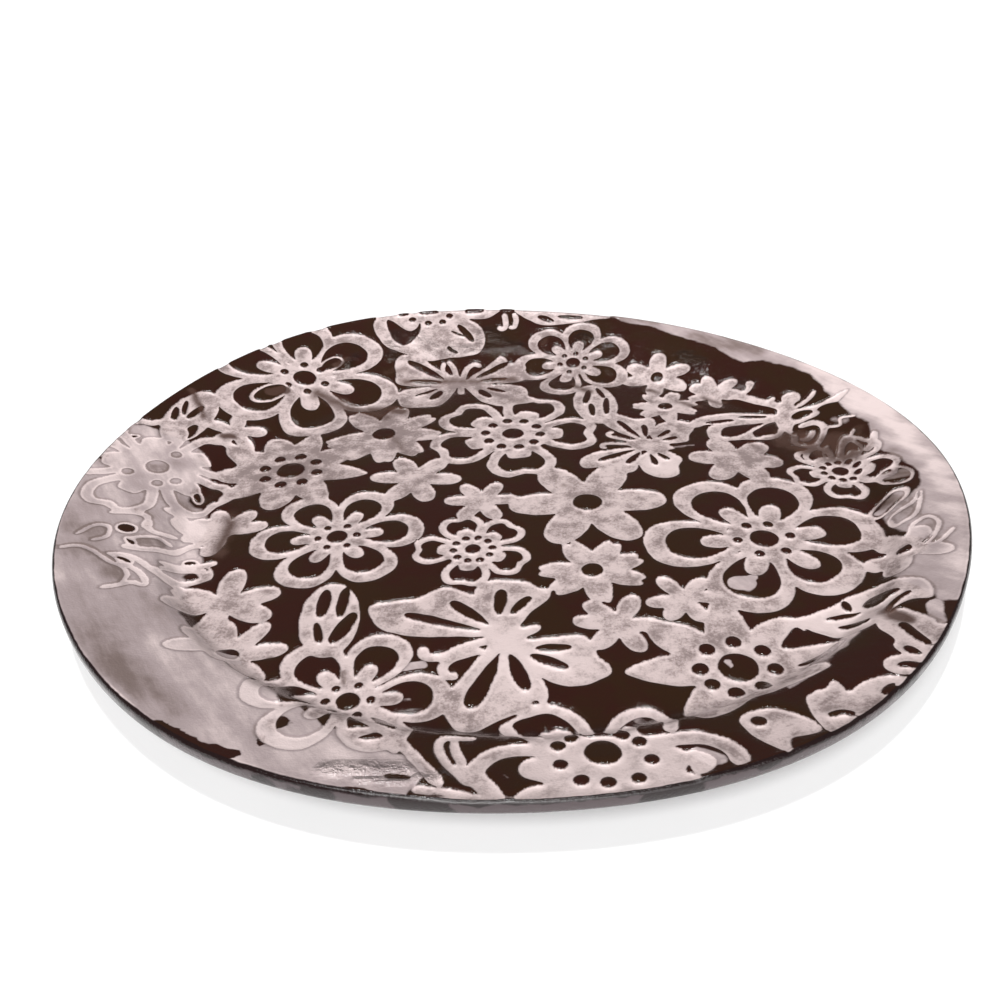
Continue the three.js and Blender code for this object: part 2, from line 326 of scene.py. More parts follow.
def near_butterfly():
    """The large butterfly of the near side, with uneven wings, feelers and slots."""
    return [
        form(
            [
                (-52, -73), (-50, -70), (-43, -69), (-36, -68), (-31, -65), (-27, -62.5), (-23, -63),
                (-18, -66), (-14, -68), (-10, -73), (-7, -80), (-7, -87), (-11, -90), (-20, -89.5),
                (-30, -89), (-39, -87.5), (-46, -84), (-50, -79),
            ]
        ),
        form(
            [
                (-15, -67), (-13.5, -62), (-9, -59.5), (-1, -60), (5, -62), (8, -65), (12, -66.5),
                (11.5, -70.5), (8, -75), (4, -79), (1, -84), (-3, -89), (-9, -87), (-10, -80), (-13, -74),
            ]
        ),
        blade(-4, -91, 7.5, -86, 2.4, LACE, 0.4, 0.4),
        form(
            [
                (-3, -92), (3, -92.3), (11, -91.7), (18, -91), (22, -92.5), (24, -97), (25, -102.5),
                (28, -106), (28.3, -110), (25, -112.3), (20, -114.7), (14, -115), (8.5, -112.5), (3, -108),
                (-2, -101), (-6, -96),
            ]
        ),
        form(
            [
                (-9, -92), (-3, -95), (1, -102), (5, -109), (7.5, -115), (7.3, -121), (4, -125), (-3, -126),
                (-9, -129), (-15, -132), (-20, -131.5), (-23.5, -126), (-25, -120), (-22.5, -114),
                (-19, -109), (-15, -102), (-12, -97),
            ]
        ),
        thread([
            (-9, -91.5), (-15, -93.5), (-20, -95.5), (-24, -98.5), (-29, -99.3), (-32, -97), (-31.3, -94),
        ], 1.9),
        thread([(-12, -96.5), (-18, -98), (-23, -100.5), (-25.3, -104), (-23.5, -108), (-20, -108)], 1.8),
        blade(-10, -80, 0, -98, 6.5),
        blade(-12.5, -86.8, -39.5, -76.3, 2.1, GROUND, 0.8, 0.35),
        blade(-10, -84, -23.5, -70.5, 2.4, GROUND, 0.8, 0.4),
        blade(-6.8, -79, -5.2, -65, 2.4, GROUND, 0.6, 0.4),
        blade(-2.8, -79, 4.8, -69.7, 1.9, GROUND, 0.6, 0.4),
        blade(4.8, -96.8, 17.2, -97, 1.9, GROUND, 0.5, 0.5),
        blade(3, -100, 15.3, -106.8, 2.1, GROUND, 0.5, 0.5),
        blade(-6.4, -98, -17, -122.5, 3.2, GROUND, 1.0, 0.4),
        blade(-3.6, -98.5, 1.4, -116, 2.5, GROUND, 0.8, 0.5),
        (GROUND, disc((3.6, -121.5), 1.0, 10)),
    ]


def near_flower():
    """The flower of the near rim, its petals loops of uneven width."""
    return [
        thread([
            (5, -145), (0, -140), (-4, -134.5), (-6, -130), (-2.5, -126.5), (4, -124.2), (10, -125),
            (15, -129.5), (17.5, -135), (17.5, -142),
        ], 2.1),
        thread([
            (23.5, -142), (24.5, -136), (28, -130.5), (33, -127.6), (38, -128), (41, -132), (41.5, -138),
            (40, -143),
        ], 2.0),
        thread([(28, -147.5), (37, -146.6), (45, -146), (51, -148), (55, -152.5), (56.5, -159)], 2.8),
        thread([
            (6, -148), (-2, -147), (-9, -148.5), (-13.5, -153), (-14, -158), (-10.5, -164), (-8, -170),
        ], 2.8),
        form(
            [
                (4, -147), (5, -143), (3.5, -137), (4.5, -133.3), (7, -134), (8.5, -132.2), (11, -133.5),
                (13.5, -134), (14, -139), (16, -142.3), (20, -143), (25, -142.5), (27, -139), (28, -134.5),
                (30, -133), (31.7, -136), (31.5, -142), (36, -145), (40, -149.5), (43, -152), (43, -156),
                (41, -160), (44, -163), (38, -175), (5, -175), (-6, -170), (-1, -163), (4, -161.7),
                (-1, -159), (-2.8, -155.5), (-1, -151.5), (3, -150),
            ]
        ),
        form([(43, -151.5), (46.5, -152.5), (50, -156), (48, -160), (43, -161)]),
        (GROUND, disc((20.5, -150), 5.2, 22)),
        *[
            (GROUND, disc(place, 2.2, 14))
            for place in (
                (8.5, -146), (12.5, -142.8), (26.8, -142.6), (31, -146), (33, -154), (28.5, -161),
                (20.5, -162.3), (13.5, -160.8), (8.5, -154),
            )
        ],
        blade(-12.5, -131.5, -1, -124.6, 1.5, GROUND),
    ]


def middle_butterfly():
    """The butterfly of the far side, its wings spread level."""
    return [
        form(
            [
                (-23, 108), (-28, 113), (-36, 120), (-42, 127), (-51, 129), (-56, 123), (-55, 114),
                (-54.5, 106), (-47, 103.5), (-36, 104), (-27, 104),
            ]
        ),
        form(
            [
                (-26, 105), (-36, 104), (-46, 102), (-53, 98.5), (-53, 91), (-50, 83), (-42, 81.5),
                (-33, 82), (-29, 87), (-26, 94), (-24, 101),
            ]
        ),
        form(
            [
                (-20, 107), (-15, 113), (-8, 119.5), (-3, 125), (-0.5, 127), (2, 125), (4, 121.3),
                (10, 120.5), (12.5, 118), (11, 112.5), (12, 108), (6, 105), (-4, 104), (-16, 104),
            ]
        ),
        form(
            [
                (-19, 104), (-8, 104), (3, 103), (10, 99.5), (12, 93), (11.5, 86), (15, 82), (8, 80.5),
                (-2, 79), (-9, 83), (-13, 88), (-17, 97),
            ]
        ),
        blade(-28, 105.5, -15, 105.5, 4),
        blade(-21.5, 104, -21.3, 93.4, 1.8, LACE, 0.3, 0.3),
        thread([(-22.5, 108), (-24, 113), (-25.5, 119), (-28.5, 124)], 1.5),
        thread([(-21, 108), (-20, 113), (-18, 118.5), (-14, 121.3), (-11, 119)], 1.5),
        thread([(-24, 111), (-29, 113), (-31, 118), (-30, 123)], 1.2),
        blade(-30, 109.5, -49.5, 124, 2.3, GROUND, 0.6, 0.4),
        blade(-31, 107.3, -48.5, 107.8, 1.7, GROUND),
        blade(-31, 99, -36.5, 89.5, 2.3, GROUND),
        blade(-33, 101.3, -45, 94.3, 1.1, GROUND),
        blade(-14, 110.5, 3.5, 122, 1.8, GROUND, 0.6, 0.35),
        blade(-12, 108, 3, 109.6, 1.3, GROUND),
        blade(-12.5, 98.5, -6.5, 89.3, 2.2, GROUND),
        blade(-8.7, 100.4, 1.3, 94.5, 1.4, GROUND),
    ]


def rim_flower():
    """The flower cut by the far rim, its lower petals run together."""
    return [
        form(
            [
                (-62, 176), (-65, 166), (-67.5, 160), (-69, 152), (-66, 143), (-60, 134), (-49, 129),
                (-38, 124), (-28, 126.5), (-19, 127.5), (-12, 130), (-8.5, 138), (-9, 147), (-12.5, 154),
                (-17, 158), (-8, 157.5), (-2.5, 161), (2, 166), (6, 180), (-40, 190),
            ]
        ),
        form([
            (-62, 158), (-57.5, 155.7), (-53, 151.2), (-49, 148.3), (-45.3, 151.5), (-43.7, 156),
            (-43.5, 149), (-46.5, 141.5), (-52, 136.5), (-57.5, 141), (-60.5, 149),
        ], GROUND),
        blade(-23, 154, -14.5, 139, 2.1, GROUND),
        blade(-27, 148.5, -19.5, 143.5, 0.9, GROUND),
        thread([(-28.3, 136), (-26.5, 132.6), (-23, 131)], 1.2, GROUND),
        blade(-18, 125.5, -11.5, 129.5, 1.0, GROUND),
        blade(-45.5, 165, -33, 165.4, 2.2, GROUND, 0.4, 0.4),
        blade(-56, 162, -49, 164, 1.3, GROUND),
        blade(-19.5, 164.7, -8, 164.7, 1.9, GROUND, 0.4, 0.4),
        *[
            (GROUND, disc(place, 2.1, 12))
            for place in ((-48, 158.5), (-39.3, 155.4), (-31.5, 156.3), (-27.5, 161.4))
        ],
        thread([(2.5, 161), (3.3, 155), (3, 150), (0.8, 148), (-1, 150.5)], 1.6),
        thread([(8, 161), (9, 155), (7.5, 149), (5, 150)], 1.5),
        form([
            (7, 170), (9, 162), (14, 156), (20, 151), (27, 148.5), (38, 148.5), (46, 148.5), (52, 149.5),
            (60, 149), (62, 158), (30, 172),
        ]),
        blade(21, 157, 29.5, 151.3, 2.0, GROUND),
        blade(31.5, 155.2, 46, 151.8, 1.6, GROUND),
    ]


def far_butterfly():
    """The butterfly at the far right, its thin wings drawn out to the left."""
    return [
        form(
            [
                (127, 53), (120, 57.5), (108, 60.5), (98, 60), (90, 57.5), (84.5, 53), (84, 49), (88, 48),
                (92, 50), (100, 49.5), (112, 50), (122, 51),
            ]
        ),
        form(
            [
                (126, 52), (112, 51), (100, 50), (94, 49), (91, 44), (91, 38), (92.5, 33.5), (100, 34.5),
                (108, 34.5), (115, 33.5), (121, 35), (125, 40), (128, 46),
            ]
        ),
        blade(92, 51.8, 106, 53.8, 1.4, GROUND),
        blade(108, 56.2, 122, 55.2, 1.3, GROUND),
        form([
            (97, 39), (98.5, 45.5), (104, 48), (112, 48.7), (119, 49), (113, 45.5), (108, 41), (102, 38),
        ], GROUND),
        form([
            (112, 36.5), (111.3, 41), (115, 44.5), (120, 48.5), (124.3, 49.5), (124, 44), (120.5, 38.5),
            (116, 38),
        ], GROUND),
        blade(126, 40, 132, 62, 4.4),
        (LACE, disc((133.7, 61.5), 4.4)),
        thread([(134, 54), (140, 57), (145, 62)], 1.1),
        form([
            (130, 53.5), (136, 52.5), (143, 52), (150, 54), (158, 56), (152, 50), (145, 47.5), (140, 44),
            (132, 44), (128, 48),
        ]),
        form([(131, 50), (137, 50.5), (140, 48), (137, 46), (132, 46.5)], GROUND),
        form([(141.5, 48), (146, 50.3), (151, 49.5), (150, 45), (145, 43.5)], GROUND),
        thread([(127, 42), (129, 36), (127, 30), (131, 26), (137, 28), (141, 34), (139, 40), (132, 42)], 1.5),
        blade(128, 38.5, 131.5, 38.5, 1.2, GROUND),
        thread([(130, 32), (134, 33), (137, 36)], 1.6),
        thread([(141, 35), (147, 33), (149, 38), (155, 36)], 0.8),
        thread([(137, 26), (131, 22), (128, 16), (131, 11)], 1.2),
        thread([(140, 24), (136, 18), (139, 12)], 0.7),
        thread([(152, 28), (148, 22), (150, 14), (147, 9)], 0.8),
        blade(142, 17, 148, 24.5, 2.2, LACE, 0.7, 0.3),
        thread([(150, 10), (155, 15), (158, 22)], 1.6),
    ]


DAISY_GAP = [(84, -102), (91, -92.5), (95, -96.5), (103.5, -100), (95, -101.5)]


def right_butterfly():
    """The butterfly that runs out over the rim on the right of the near side."""
    return [
        form(
            [
                (91.5, -88), (97, -87), (103, -84.5), (108, -82), (112, -79), (118, -76.5), (125, -74),
                (131, -77), (136, -80), (137, -86), (134.5, -92), (129, -91), (124, -92.3), (119.5, -95.5),
                (114.5, -99.5), (110, -101.7), (105, -101), (102, -98.5), (97, -95.8), (93.5, -92),
            ]
        ),
        blade(111.3, -80, 111.2, -86, 1.5, GROUND),
        form([
            (116.5, -83.5), (119.5, -80.5), (124, -80.7), (128, -83.7), (123.5, -86), (119.5, -88.3),
            (117, -86),
        ], GROUND),
        blade(102, -89.5, 115, -87.3, 1.1, GROUND),
        form([(104.5, -93.8), (109, -92.7), (114, -95.3), (111, -97)], GROUND),
        thread([(130.5, -86), (125.5, -88.5), (121.5, -91.7), (119, -95)], 0.9, GROUND),
        form([
            (113.3, -101.5), (117, -97), (124, -94.5), (126.5, -98), (129.5, -103), (131.5, -109),
            (128, -114.5), (123.5, -119), (119, -123), (114.8, -120), (113.6, -114), (115.3, -110.5),
        ]),
        form([(119, -103.5), (121.8, -103), (123, -109), (124, -117.5), (121.5, -115), (120, -110)], GROUND),
        blade(116.3, -115, 118.5, -121.5, 1.7, GROUND),
        (GROUND, disc((130.7, -106), 1.2, 8)),
        thread([
            (114.5, -127.5), (110, -126.5), (108.6, -123), (111, -120.7), (115.5, -121), (120, -124),
        ], 1.9),
        form(DAISY_GAP, GROUND),
    ]


def brushed_daisy():
    """The daisy whose lower petals were brushed down together while wet."""
    apron = form(
        [
            (74, -104), (82, -106), (87, -110.5), (88.5, -114), (93.5, -118.5), (88, -122), (81, -125),
            (73, -128.5), (66, -130.5), (61, -134.5), (55, -137), (52, -131), (55, -122), (62, -116),
        ]
    )
    dots = [(79.3, -111.4, 2.6), (73.3, -119, 2.4), (73.5, -121, 1.7), (64.7, -121.2, 2.6), (58.3, -117, 2.6)]
    return [
        apron,
        *star_daisy((68, -110), 34, [180, 138, 88, 40, 11, -125], [180, 132, 84, 36], 11.5),
        *[(GROUND, disc((x, y), radius, 14)) for x, y, radius in dots],
        form(DAISY_GAP, GROUND),
        form([(86, -110.6), (94, -107.6), (102, -102.8), (98, -108.4), (91, -112)], GROUND),
    ]


def rim_scraps():
    """Cut off pieces of lace along the near rim and twigs elsewhere."""
    return [
        [
            form(
                [
                    (60, -140.5), (63, -137), (69, -135.8), (74.5, -138.5), (79, -143), (80.5, -148),
                    (76, -149.7), (71.5, -150.3), (69.5, -155.5), (65.5, -152.5), (62, -147.5),
                ]
            ),
            (GROUND, disc((65.2, -141.3), 2.3, 14)),
        ],
        [
            form(
                [
                    (81, -133), (85, -130.5), (88, -129.5), (90.7, -126.3), (92.3, -129), (93.6, -133),
                    (97, -130), (101, -128.5), (106, -128), (110.5, -130), (106, -136), (97, -142),
                    (90, -148), (83, -150), (80.8, -146), (80.3, -139),
                ]
            ),
            blade(101.3, -136.5, 106.5, -131.7, 1.3, GROUND),
            thread([(84, -142.5), (88, -141.3), (91.5, -144)], 1.2, GROUND),
        ],
        [thread([(-50, -127), (-44, -133), (-38.5, -138.5), (-34, -144.5), (-29, -152), (-23, -161)], 2.0)],
        [thread([(-38, -139), (-38.5, -143), (-36, -147)], 1.2)],
        [form([(-52.5, -137), (-48, -135), (-41, -136), (-45, -138.4), (-49, -139.8)])],
        [thread([
            (-14, -141.4), (-19, -141), (-24, -141.5), (-24.5, -146), (-22.5, -151), (-19, -156),
            (-16, -161),
        ], 1.3)],
        [thread([(-20.5, -142), (-20, -147), (-18, -152), (-19, -158)], 1.4)],
        [thread([(-31, -161.5), (-25, -162.8), (-18, -164.6), (-12, -167.5)], 1.6)],
        [blade(-18.5, -155.5, -13.5, -165, 1.7, GROUND)],
        [thread([(103, 79), (112, 73.5), (119, 67), (127, 59), (129, 55)], 1.7)],
        [thread([(112, 73.5), (117, 75), (119.5, 79.5)], 1.5), (LACE, disc((119, 79), 2.2, 12))],
        [thread([(119, 66), (124, 63.5), (127.5, 65)], 1.2)],
        [thread([(-93, 146), (-98, 148), (-101, 150)], 1.5)],
        # Lines that stay visible through the flood on the left
        [thread([
            (-167, -46), (-160, -42.5), (-152, -46.5), (-147, -50), (-142, -52.5), (-139, -57),
            (-139, -62),
        ], 1.0)],
        [thread([
            (-145, -67), (-140, -64), (-136, -61), (-131.5, -62), (-133, -57.5), (-138, -52.5),
            (-146, -48),
        ], 1.3)],
        [thread([(-150, -45), (-141, -45), (-133, -51), (-126, -56), (-119, -58)], 1.4)],
        [thread([(-147, -38.5), (-139, -39), (-131, -36), (-125, -30), (-118, -26)], 1.7)],
        [thread([(-146, -34), (-143, -31), (-136, -30), (-131, -32)], 1.1)],
        [thread([(-132, -45), (-124, -43.5), (-117, -42.5), (-112, -41)], 1.6)],
        [thread([(-164, -36), (-160, -28), (-155, -27.5), (-153.5, -34), (-158, -38)], 1.0)],
        [thread([(-158, -18), (-150, -15.5), (-144, -17), (-142.5, -23), (-138, -27), (-131, -25)], 1.3)],
        [thread([(-140, -9), (-132, -12), (-128, -17), (-121, -20)], 1.8)],
        [blade(-136, -14, -122, -20, 4.5)],
        [thread([
            (-131, -49), (-124, -45.5), (-116.5, -46), (-114.5, -51), (-122, -54), (-130, -52.5),
            (-131, -49),
        ], 1.7)],
        # Leaves under the flood on the right
        [thread([(143, -36), (152, -33), (158, -26), (151, -40), (143, -43), (143, -36)], 0.9)],
        [thread([(142, -58), (146, -48), (153, -44), (155, -49), (150, -57), (143, -62)], 0.9)],
        [blade(133, -46, 140, -58, 4.0)],
        [thread([(144, -64), (152, -60), (158, -55)], 0.9)],
        [blade(137.5, -32, 155.5, -21.5, 4.2), blade(139.5, -30.8, 153, -23, 3.0, GROUND)],
        [(LACE, disc((154.5, -11.5), 6.6)), (GROUND, disc((154.5, -11.5), 5.2))],
    ]


# Openings that stayed brown in the flood: both ends and half the width
BARE = [
    (-133, 9.5, -129.5, 1.5, 1.4),
    (-137, 32.5, -131, 27, 0.9),
    (-152, -26, -145.5, -27.5, 2.7),
    (-146.5, -33, -143, -37, 0.9),
    (-150, -12, -147, -15.5, 1.0),
    (-143, -20, -142.5, -24, 1.0),
    (-147, -45.5, -140, -49, 0.9),
    (-117.5, -43.5, -113, -51, 1.6),
    (-123.5, -29, -118, -26.5, 2.0),
    (-125, -40.5, -120, -41, 1.3),
    (-174, 19, -169.5, 20, 1.6),
    (-171, 32.5, -170, 28, 1.1),
    (-168, 35, -163, 38.5, 0.8),
    (136.5, -61, 141.5, -58.5, 2.3),
]


def bare_openings():
    """The openings with a narrow rim of lace round each."""
    motifs = []
    for x0, y0, x1, y1, half in BARE:
        reach = np.array((x1 - x0, y1 - y0)) * 1.2 / math.hypot(x1 - x0, y1 - y0)
        motifs.append(
            [
                blade(x0 - reach[0], y0 - reach[1], x1 + reach[0], y1 + reach[1], half + 1.2),
                blade(x0, y0, x1, y1, half, GROUND),
            ]
        )
    return motifs


def lace_pattern():
    """The lace as it lies on the dish: places, sizes and the aims of uneven petals."""
    return [
        ring_flower((94.5, -41.5), 45.5, [7, 68, 117, 181, 246, 306], (), [306]),
        ring_flower((-68.5, -27), 34, evenly(6, 6)),
        ring_flower((-54, -117), 32, [1, 68, 128, 178, 236, 300]),
        ring_flower((-100, 104), 48, [-15, 49, 99, 164, 225, 284], [49, 225])
        + [blade(-107.5, 96.5, -122.5, 80.5, 6.2), blade(-108.5, 95.5, -121, 82, 4.7, GROUND)],
        ring_flower((37, 118), 31, [17, 72, 125, 183, 247, 320]),
        scallop_flower((3, 50.5), 38, [-5, 66, 139, 204, 276], evenly(10, -8)),
        scallop_flower((-15.5, -39.5), 22.5, [-32, 43, 106, 178, 260], evenly(10, -33), 5.1, 2.1),
        scallop_flower((-150, 19), 36, evenly(5, -36), [65, 215, 285, 320]),
        scallop_flower((138.5, 4), 21.5, evenly(5, -28), None, 6.0, 2.2, 12.0),
        rim_flower(),
        star_daisy((-95.5, 26), 33, [-9, 32, 78, 113, 147, 185, 220, 264, 304], evenly(8, -12)),
        brushed_daisy(),
        plain_flower((31, -10.5), 32, evenly(6, 0), 6, 0.25),
        plain_flower((28, -56), 20.5, [178, 112, 58, 18, -24, -85, -142], 4, 0.25, 0.12),
        plain_flower((-57, 56), 28, [75, 34, -8, -50, -85, 198, 236, 128], 5.5, 0.22, 0.08),
        plain_flower((77, 71), 16.5, [118, 175, 218, 270, 328, 8, 62], 3.4, 0.25, 0.12),
        plain_flower((77.5, 99), 17.5, [140, 78, 10, -45, -105, 182], 3.2, 0.25),
        plain_flower((-96, -94), 19.5, [58, 8, -45, 107, 147, 184], 3.6, 0.2),
        plain_flower((139, -60), 15.5, [100, 42, -30, 190, 235], 3, 0.27),
        plain_flower((-40, 14.5), 20, [172, 116, 52, -8, -72, -122]),
        plain_flower((-12, -6), 15.5, [175, 120, 60, 3, -65, -125]),
        plain_flower((34, -86), 16, [173, 133, 63, -12, -70, -128]),
        plain_flower((58, -74.5), 14, [190, 120, 48, 0, -72, -125]),
        plain_flower((98, 18), 20, [168, 232, 108, 38, -14, -66], 0, 0.28),
        plain_flower((-104, -66), 20.5, [87, 17, -27, -98, 160, 188], 0, 0.24),
        plain_flower((-114, -20), 17, [57, 12, -104, 148, 113, 196], 0, 0.24),
        plain_flower((102, 79.5), 13, [100, 22, -25, -95, 190, 140], 0, 0.26),
        plain_flower((-125, 54.5), 14, evenly(5, 20), 0, 0.26),
        near_butterfly(),
        near_flower(),
        butterfly((63, 34), 35, 160),
        middle_butterfly(),
        far_butterfly(),
        right_butterfly(),
        leaf(
            (-65, -77),
            94,
            40,
            10.5,
            [
                (-68, -60.5, -68.3, -76.5, 2.5), (-61, -59.5, -61.8, -76.5, 2.1),
                (-69.3, -78.5, -66.3, -91, 1.5), (-56.3, -74, -63, -90, 2.9),
            ],
        ),
        leaf(
            (44, 77),
            91,
            42,
            10.5,
            [
                (42.5, 92.5, 39, 77.5, 1.8), (46.5, 94.5, 49, 82.5, 1.4), (42, 77.5, 41.5, 64.5, 1.7),
                (50, 83, 48, 65, 1.6),
            ],
        ),
        leaf(
            (-146, 60),
            78,
            44,
            10,
            [
                (-142, 70, -147, 58, 1.8), (-153, 66, -152, 54, 1.6), (-142, 55, -144.5, 43, 2.2),
                (-150, 72, -149, 60, 1.2),
            ],
        ),
        *rim_scraps(),
        *bare_openings(),
    ]


def inside(points, outline):
    x, y = points[:, 0], points[:, 1]
    hit = np.zeros(len(points), bool)
    for (x0, y0), (x1, y1) in zip(outline, outline[1:] + outline[:1]):
        if y0 != y1:
            hit ^= ((y0 > y) != (y1 > y)) & (x < x0 + (y - y0) * (x1 - x0) / (y1 - y0))
    return hit


def in_lace(points, pattern):
    """Which points lie in the lace: inside any motif, and not in one of its openings."""
    found = np.zeros(len(points), bool)
    for motif in pattern:
        corners = np.array([corner for _, outline in motif for corner in outline])
        near = np.flatnonzero(((points > corners.min(0)) & (points < corners.max(0))).all(1))
        here = points[near]
        state = np.zeros(len(near), bool)
        for kind, outline in motif:
            state[inside(here, outline)] = kind
        found[near] |= state
    return found


def lace_borders(pattern, step):
    """Closed border lines of the joined motifs, with the lace on their left."""
    places, edges = [], []
    for motif in pattern:
        for _, outline in motif:
            first, count = len(places), len(outline)
            places += [Vector(corner) for corner in outline]
            edges += [(first + k, first + (k + 1) % count) for k in range(count)]
    places, _, faces, *_ = delaunay_2d_cdt(places, edges, [], 0, 1e-4)
    places = np.array([place[:] for place in places])
    faces = np.array([face for face in faces if len(face) == 3])
    one, two, three = (places[faces[:, k]] for k in range(3))
    side, other = two - one, three - one
    turn = side[:, 0] * other[:, 1] - side[:, 1] * other[:, 0]
    faces[turn < 0] = faces[turn < 0][:, ::-1]
    lit = faces[in_lace((one + two + three) / 3, pattern)]
    sides = {(int(f[k]), int(f[(k + 1) % 3])) for f in lit for k in range(3)}
    onward = {}
    for start, end in sorted(sides):
        if (end, start) not in sides:
            onward.setdefault(start, []).append(end)
    borders = []
    for start in sorted(onward):
        while onward[start]:
            run = [start]
            here = onward[start].pop()
            while here != start:
                run.append(here)
                here = onward[here].pop()
            borders.append(evened(places[run], step))
    return [border for border in borders if border is not None]


def evened(border, step):
    """The border at even steps, its corners rounded as wet clay and glaze round them."""
    closed = np.vstack([border, border[:1]])
    run = np.concatenate([[0], np.cumsum(np.hypot(*np.diff(closed, axis=0).T))])
    if run[-1] < 3:
        return None
    count = max(10, round(run[-1] / step))
    at = np.linspace(0, run[-1], count, endpoint=False)
    line = np.column_stack([np.interp(at, run, closed[:, axis]) for axis in (0, 1)])
    for _ in range(2):
        for share in (0.5, -0.52):  # there and back, so that the loops don't shrink
            line = line + share * ((np.roll(line, 1, 0) + np.roll(line, -1, 0)) / 2 - line)
    return line


WOBBLE_SEED = 7  # the noise vectors start from the clock where no seed is set


def wobble(points, size, swing, seed):
    """Points moved a little by smooth noise, the size and swing in mm."""
    moves = [noise.noise_vector(Vector((x / size, y / size, seed)))[:2] for x, y in points]
    return points + swing * np.array(moves)


class Borders:
    """All border points, with the distance from any place to the nearest border line."""

    def __init__(self, lines):
        self.points = np.vstack(lines)
        self.inward = np.vstack([self.normals(line) for line in lines])
        before, after = [], []
        first = 0
        for line in lines:
            index = np.arange(len(line))
            before.append(first + np.roll(index, 1))
            after.append(first + np.roll(index, -1))
            first += len(line)
        self.before, self.after = np.concatenate(before), np.concatenate(after)
        self.tree = KDTree(len(self.points))
        for index, (x, y) in enumerate(self.points):
            self.tree.insert((x, y, 0), index)
        self.tree.balance()

    @staticmethod
    def normals(line):
        along = np.roll(line, -1, 0) - np.roll(line, 1, 0)
        along /= np.maximum(np.hypot(*along.T), 1e-9)[:, None]
        return np.column_stack([-along[:, 1], along[:, 0]])

    def distance(self, places):
        nearest = np.array([self.tree.find((x, y, 0))[1] for x, y in places])
        start = self.points[nearest]
        gaps = []
        for other in (self.before, self.after):
            span = self.points[other[nearest]] - start
            share = ((places - start) * span).sum(1) / np.maximum((span * span).sum(1), 1e-9)
            gaps.append(np.hypot(*(places - start - np.clip(share, 0, 1)[:, None] * span).T))
        return np.minimum(*gaps)


RING_STEPS = (-1.0, -0.35, 0.35, 1.0)  # lines beside each border, in shares of the slope's half width
KEPT_SHARE = 0.8  # a point of such a line is dropped where another border is nearer than this share
SLOPE_CLEARANCE = 1.9  # points of the even net keep this many half widths of the slope off a border
GAP_REACH = 4  # distances to a border are told apart up to this many mm
FINE_SHARE = 0.55  # spacing of the net where the glaze is painted finely


def face_net(dish, pattern, step, spacing, segments):
    """Places, gaps to the border and triangles of the face, up to where the edge rounds off."""
    borders = Borders([wobble(line, 5, 0.35, 2.0) for line in lace_borders(pattern, step)])
    around = np.arange(segments) * 2 * math.pi / segments
    reach = dish.rim(around) - dish.edge_round
    ring = np.column_stack([reach * np.cos(around), reach * np.sin(around)])

    def room(places):
        angle = np.arctan2(places[:, 1], places[:, 0])
        return dish.rim(angle) - dish.edge_round - np.hypot(*places.T)

    places, gaps, edges = [ring], [], [(k, (k + 1) % segments) for k in range(segments)]
    ring_gap = np.minimum(borders.distance(ring), GAP_REACH)
    gaps.append(np.where(in_lace(ring, pattern), ring_gap, -ring_gap))
    first = segments
    for share in RING_STEPS:
        gap = share * dish.relief_slope
        line = borders.points + gap * borders.inward
        kept = (borders.distance(line) > KEPT_SHARE * abs(gap)) & (room(line) > 0.7)
        number = np.cumsum(kept) - 1 + first
        pairs = kept & kept[borders.after]
        span = np.hypot(*(line[borders.after] - line).T)
        pairs &= span < 2.5 * step
        edges += list(zip(number[pairs].tolist(), number[borders.after][pairs].tolist()))
        places.append(line[kept])
        gaps.append(np.full(kept.sum(), gap))
        first += int(kept.sum())
    for size, fine in ((spacing, False), (spacing * FINE_SHARE, True)):
        side = int(1.4 * dish.rim_radius / size) + 4
        row, column = np.mgrid[-side:side, -side:side]
        lattice = np.column_stack([(column + 0.5 * (row % 2)).ravel(), row.ravel() * math.sqrt(0.75)]) * size
        lattice = lattice[room(lattice) > 1.2]
        lattice = lattice[painted_finely(lattice) == fine]
        clear = borders.distance(lattice)
        far = clear > SLOPE_CLEARANCE * dish.relief_slope
        places.append(lattice[far])
        gaps.append(np.where(in_lace(lattice[far], pattern), 1, -1) * np.minimum(clear[far], GAP_REACH))
    places, gaps = np.vstack(places), np.concatenate(gaps)
    out = delaunay_2d_cdt([Vector(place) for place in places], edges, [], 1, 1e-3)
    net, sources = np.array([place[:] for place in out[0]]), out[3]
    net_gaps = np.array([gaps[source[0]] if source else np.nan for source in sources])
    made = np.isnan(net_gaps)
    if made.any():
        made_gap = np.minimum(borders.distance(net[made]), GAP_REACH)
        net_gaps[made] = np.where(in_lace(net[made], pattern), made_gap, -made_gap)
    return net, net_gaps, [face for face in out[2] if len(face) == 3]


# Where the glaze ran, pooled and was wiped, in mm on the face

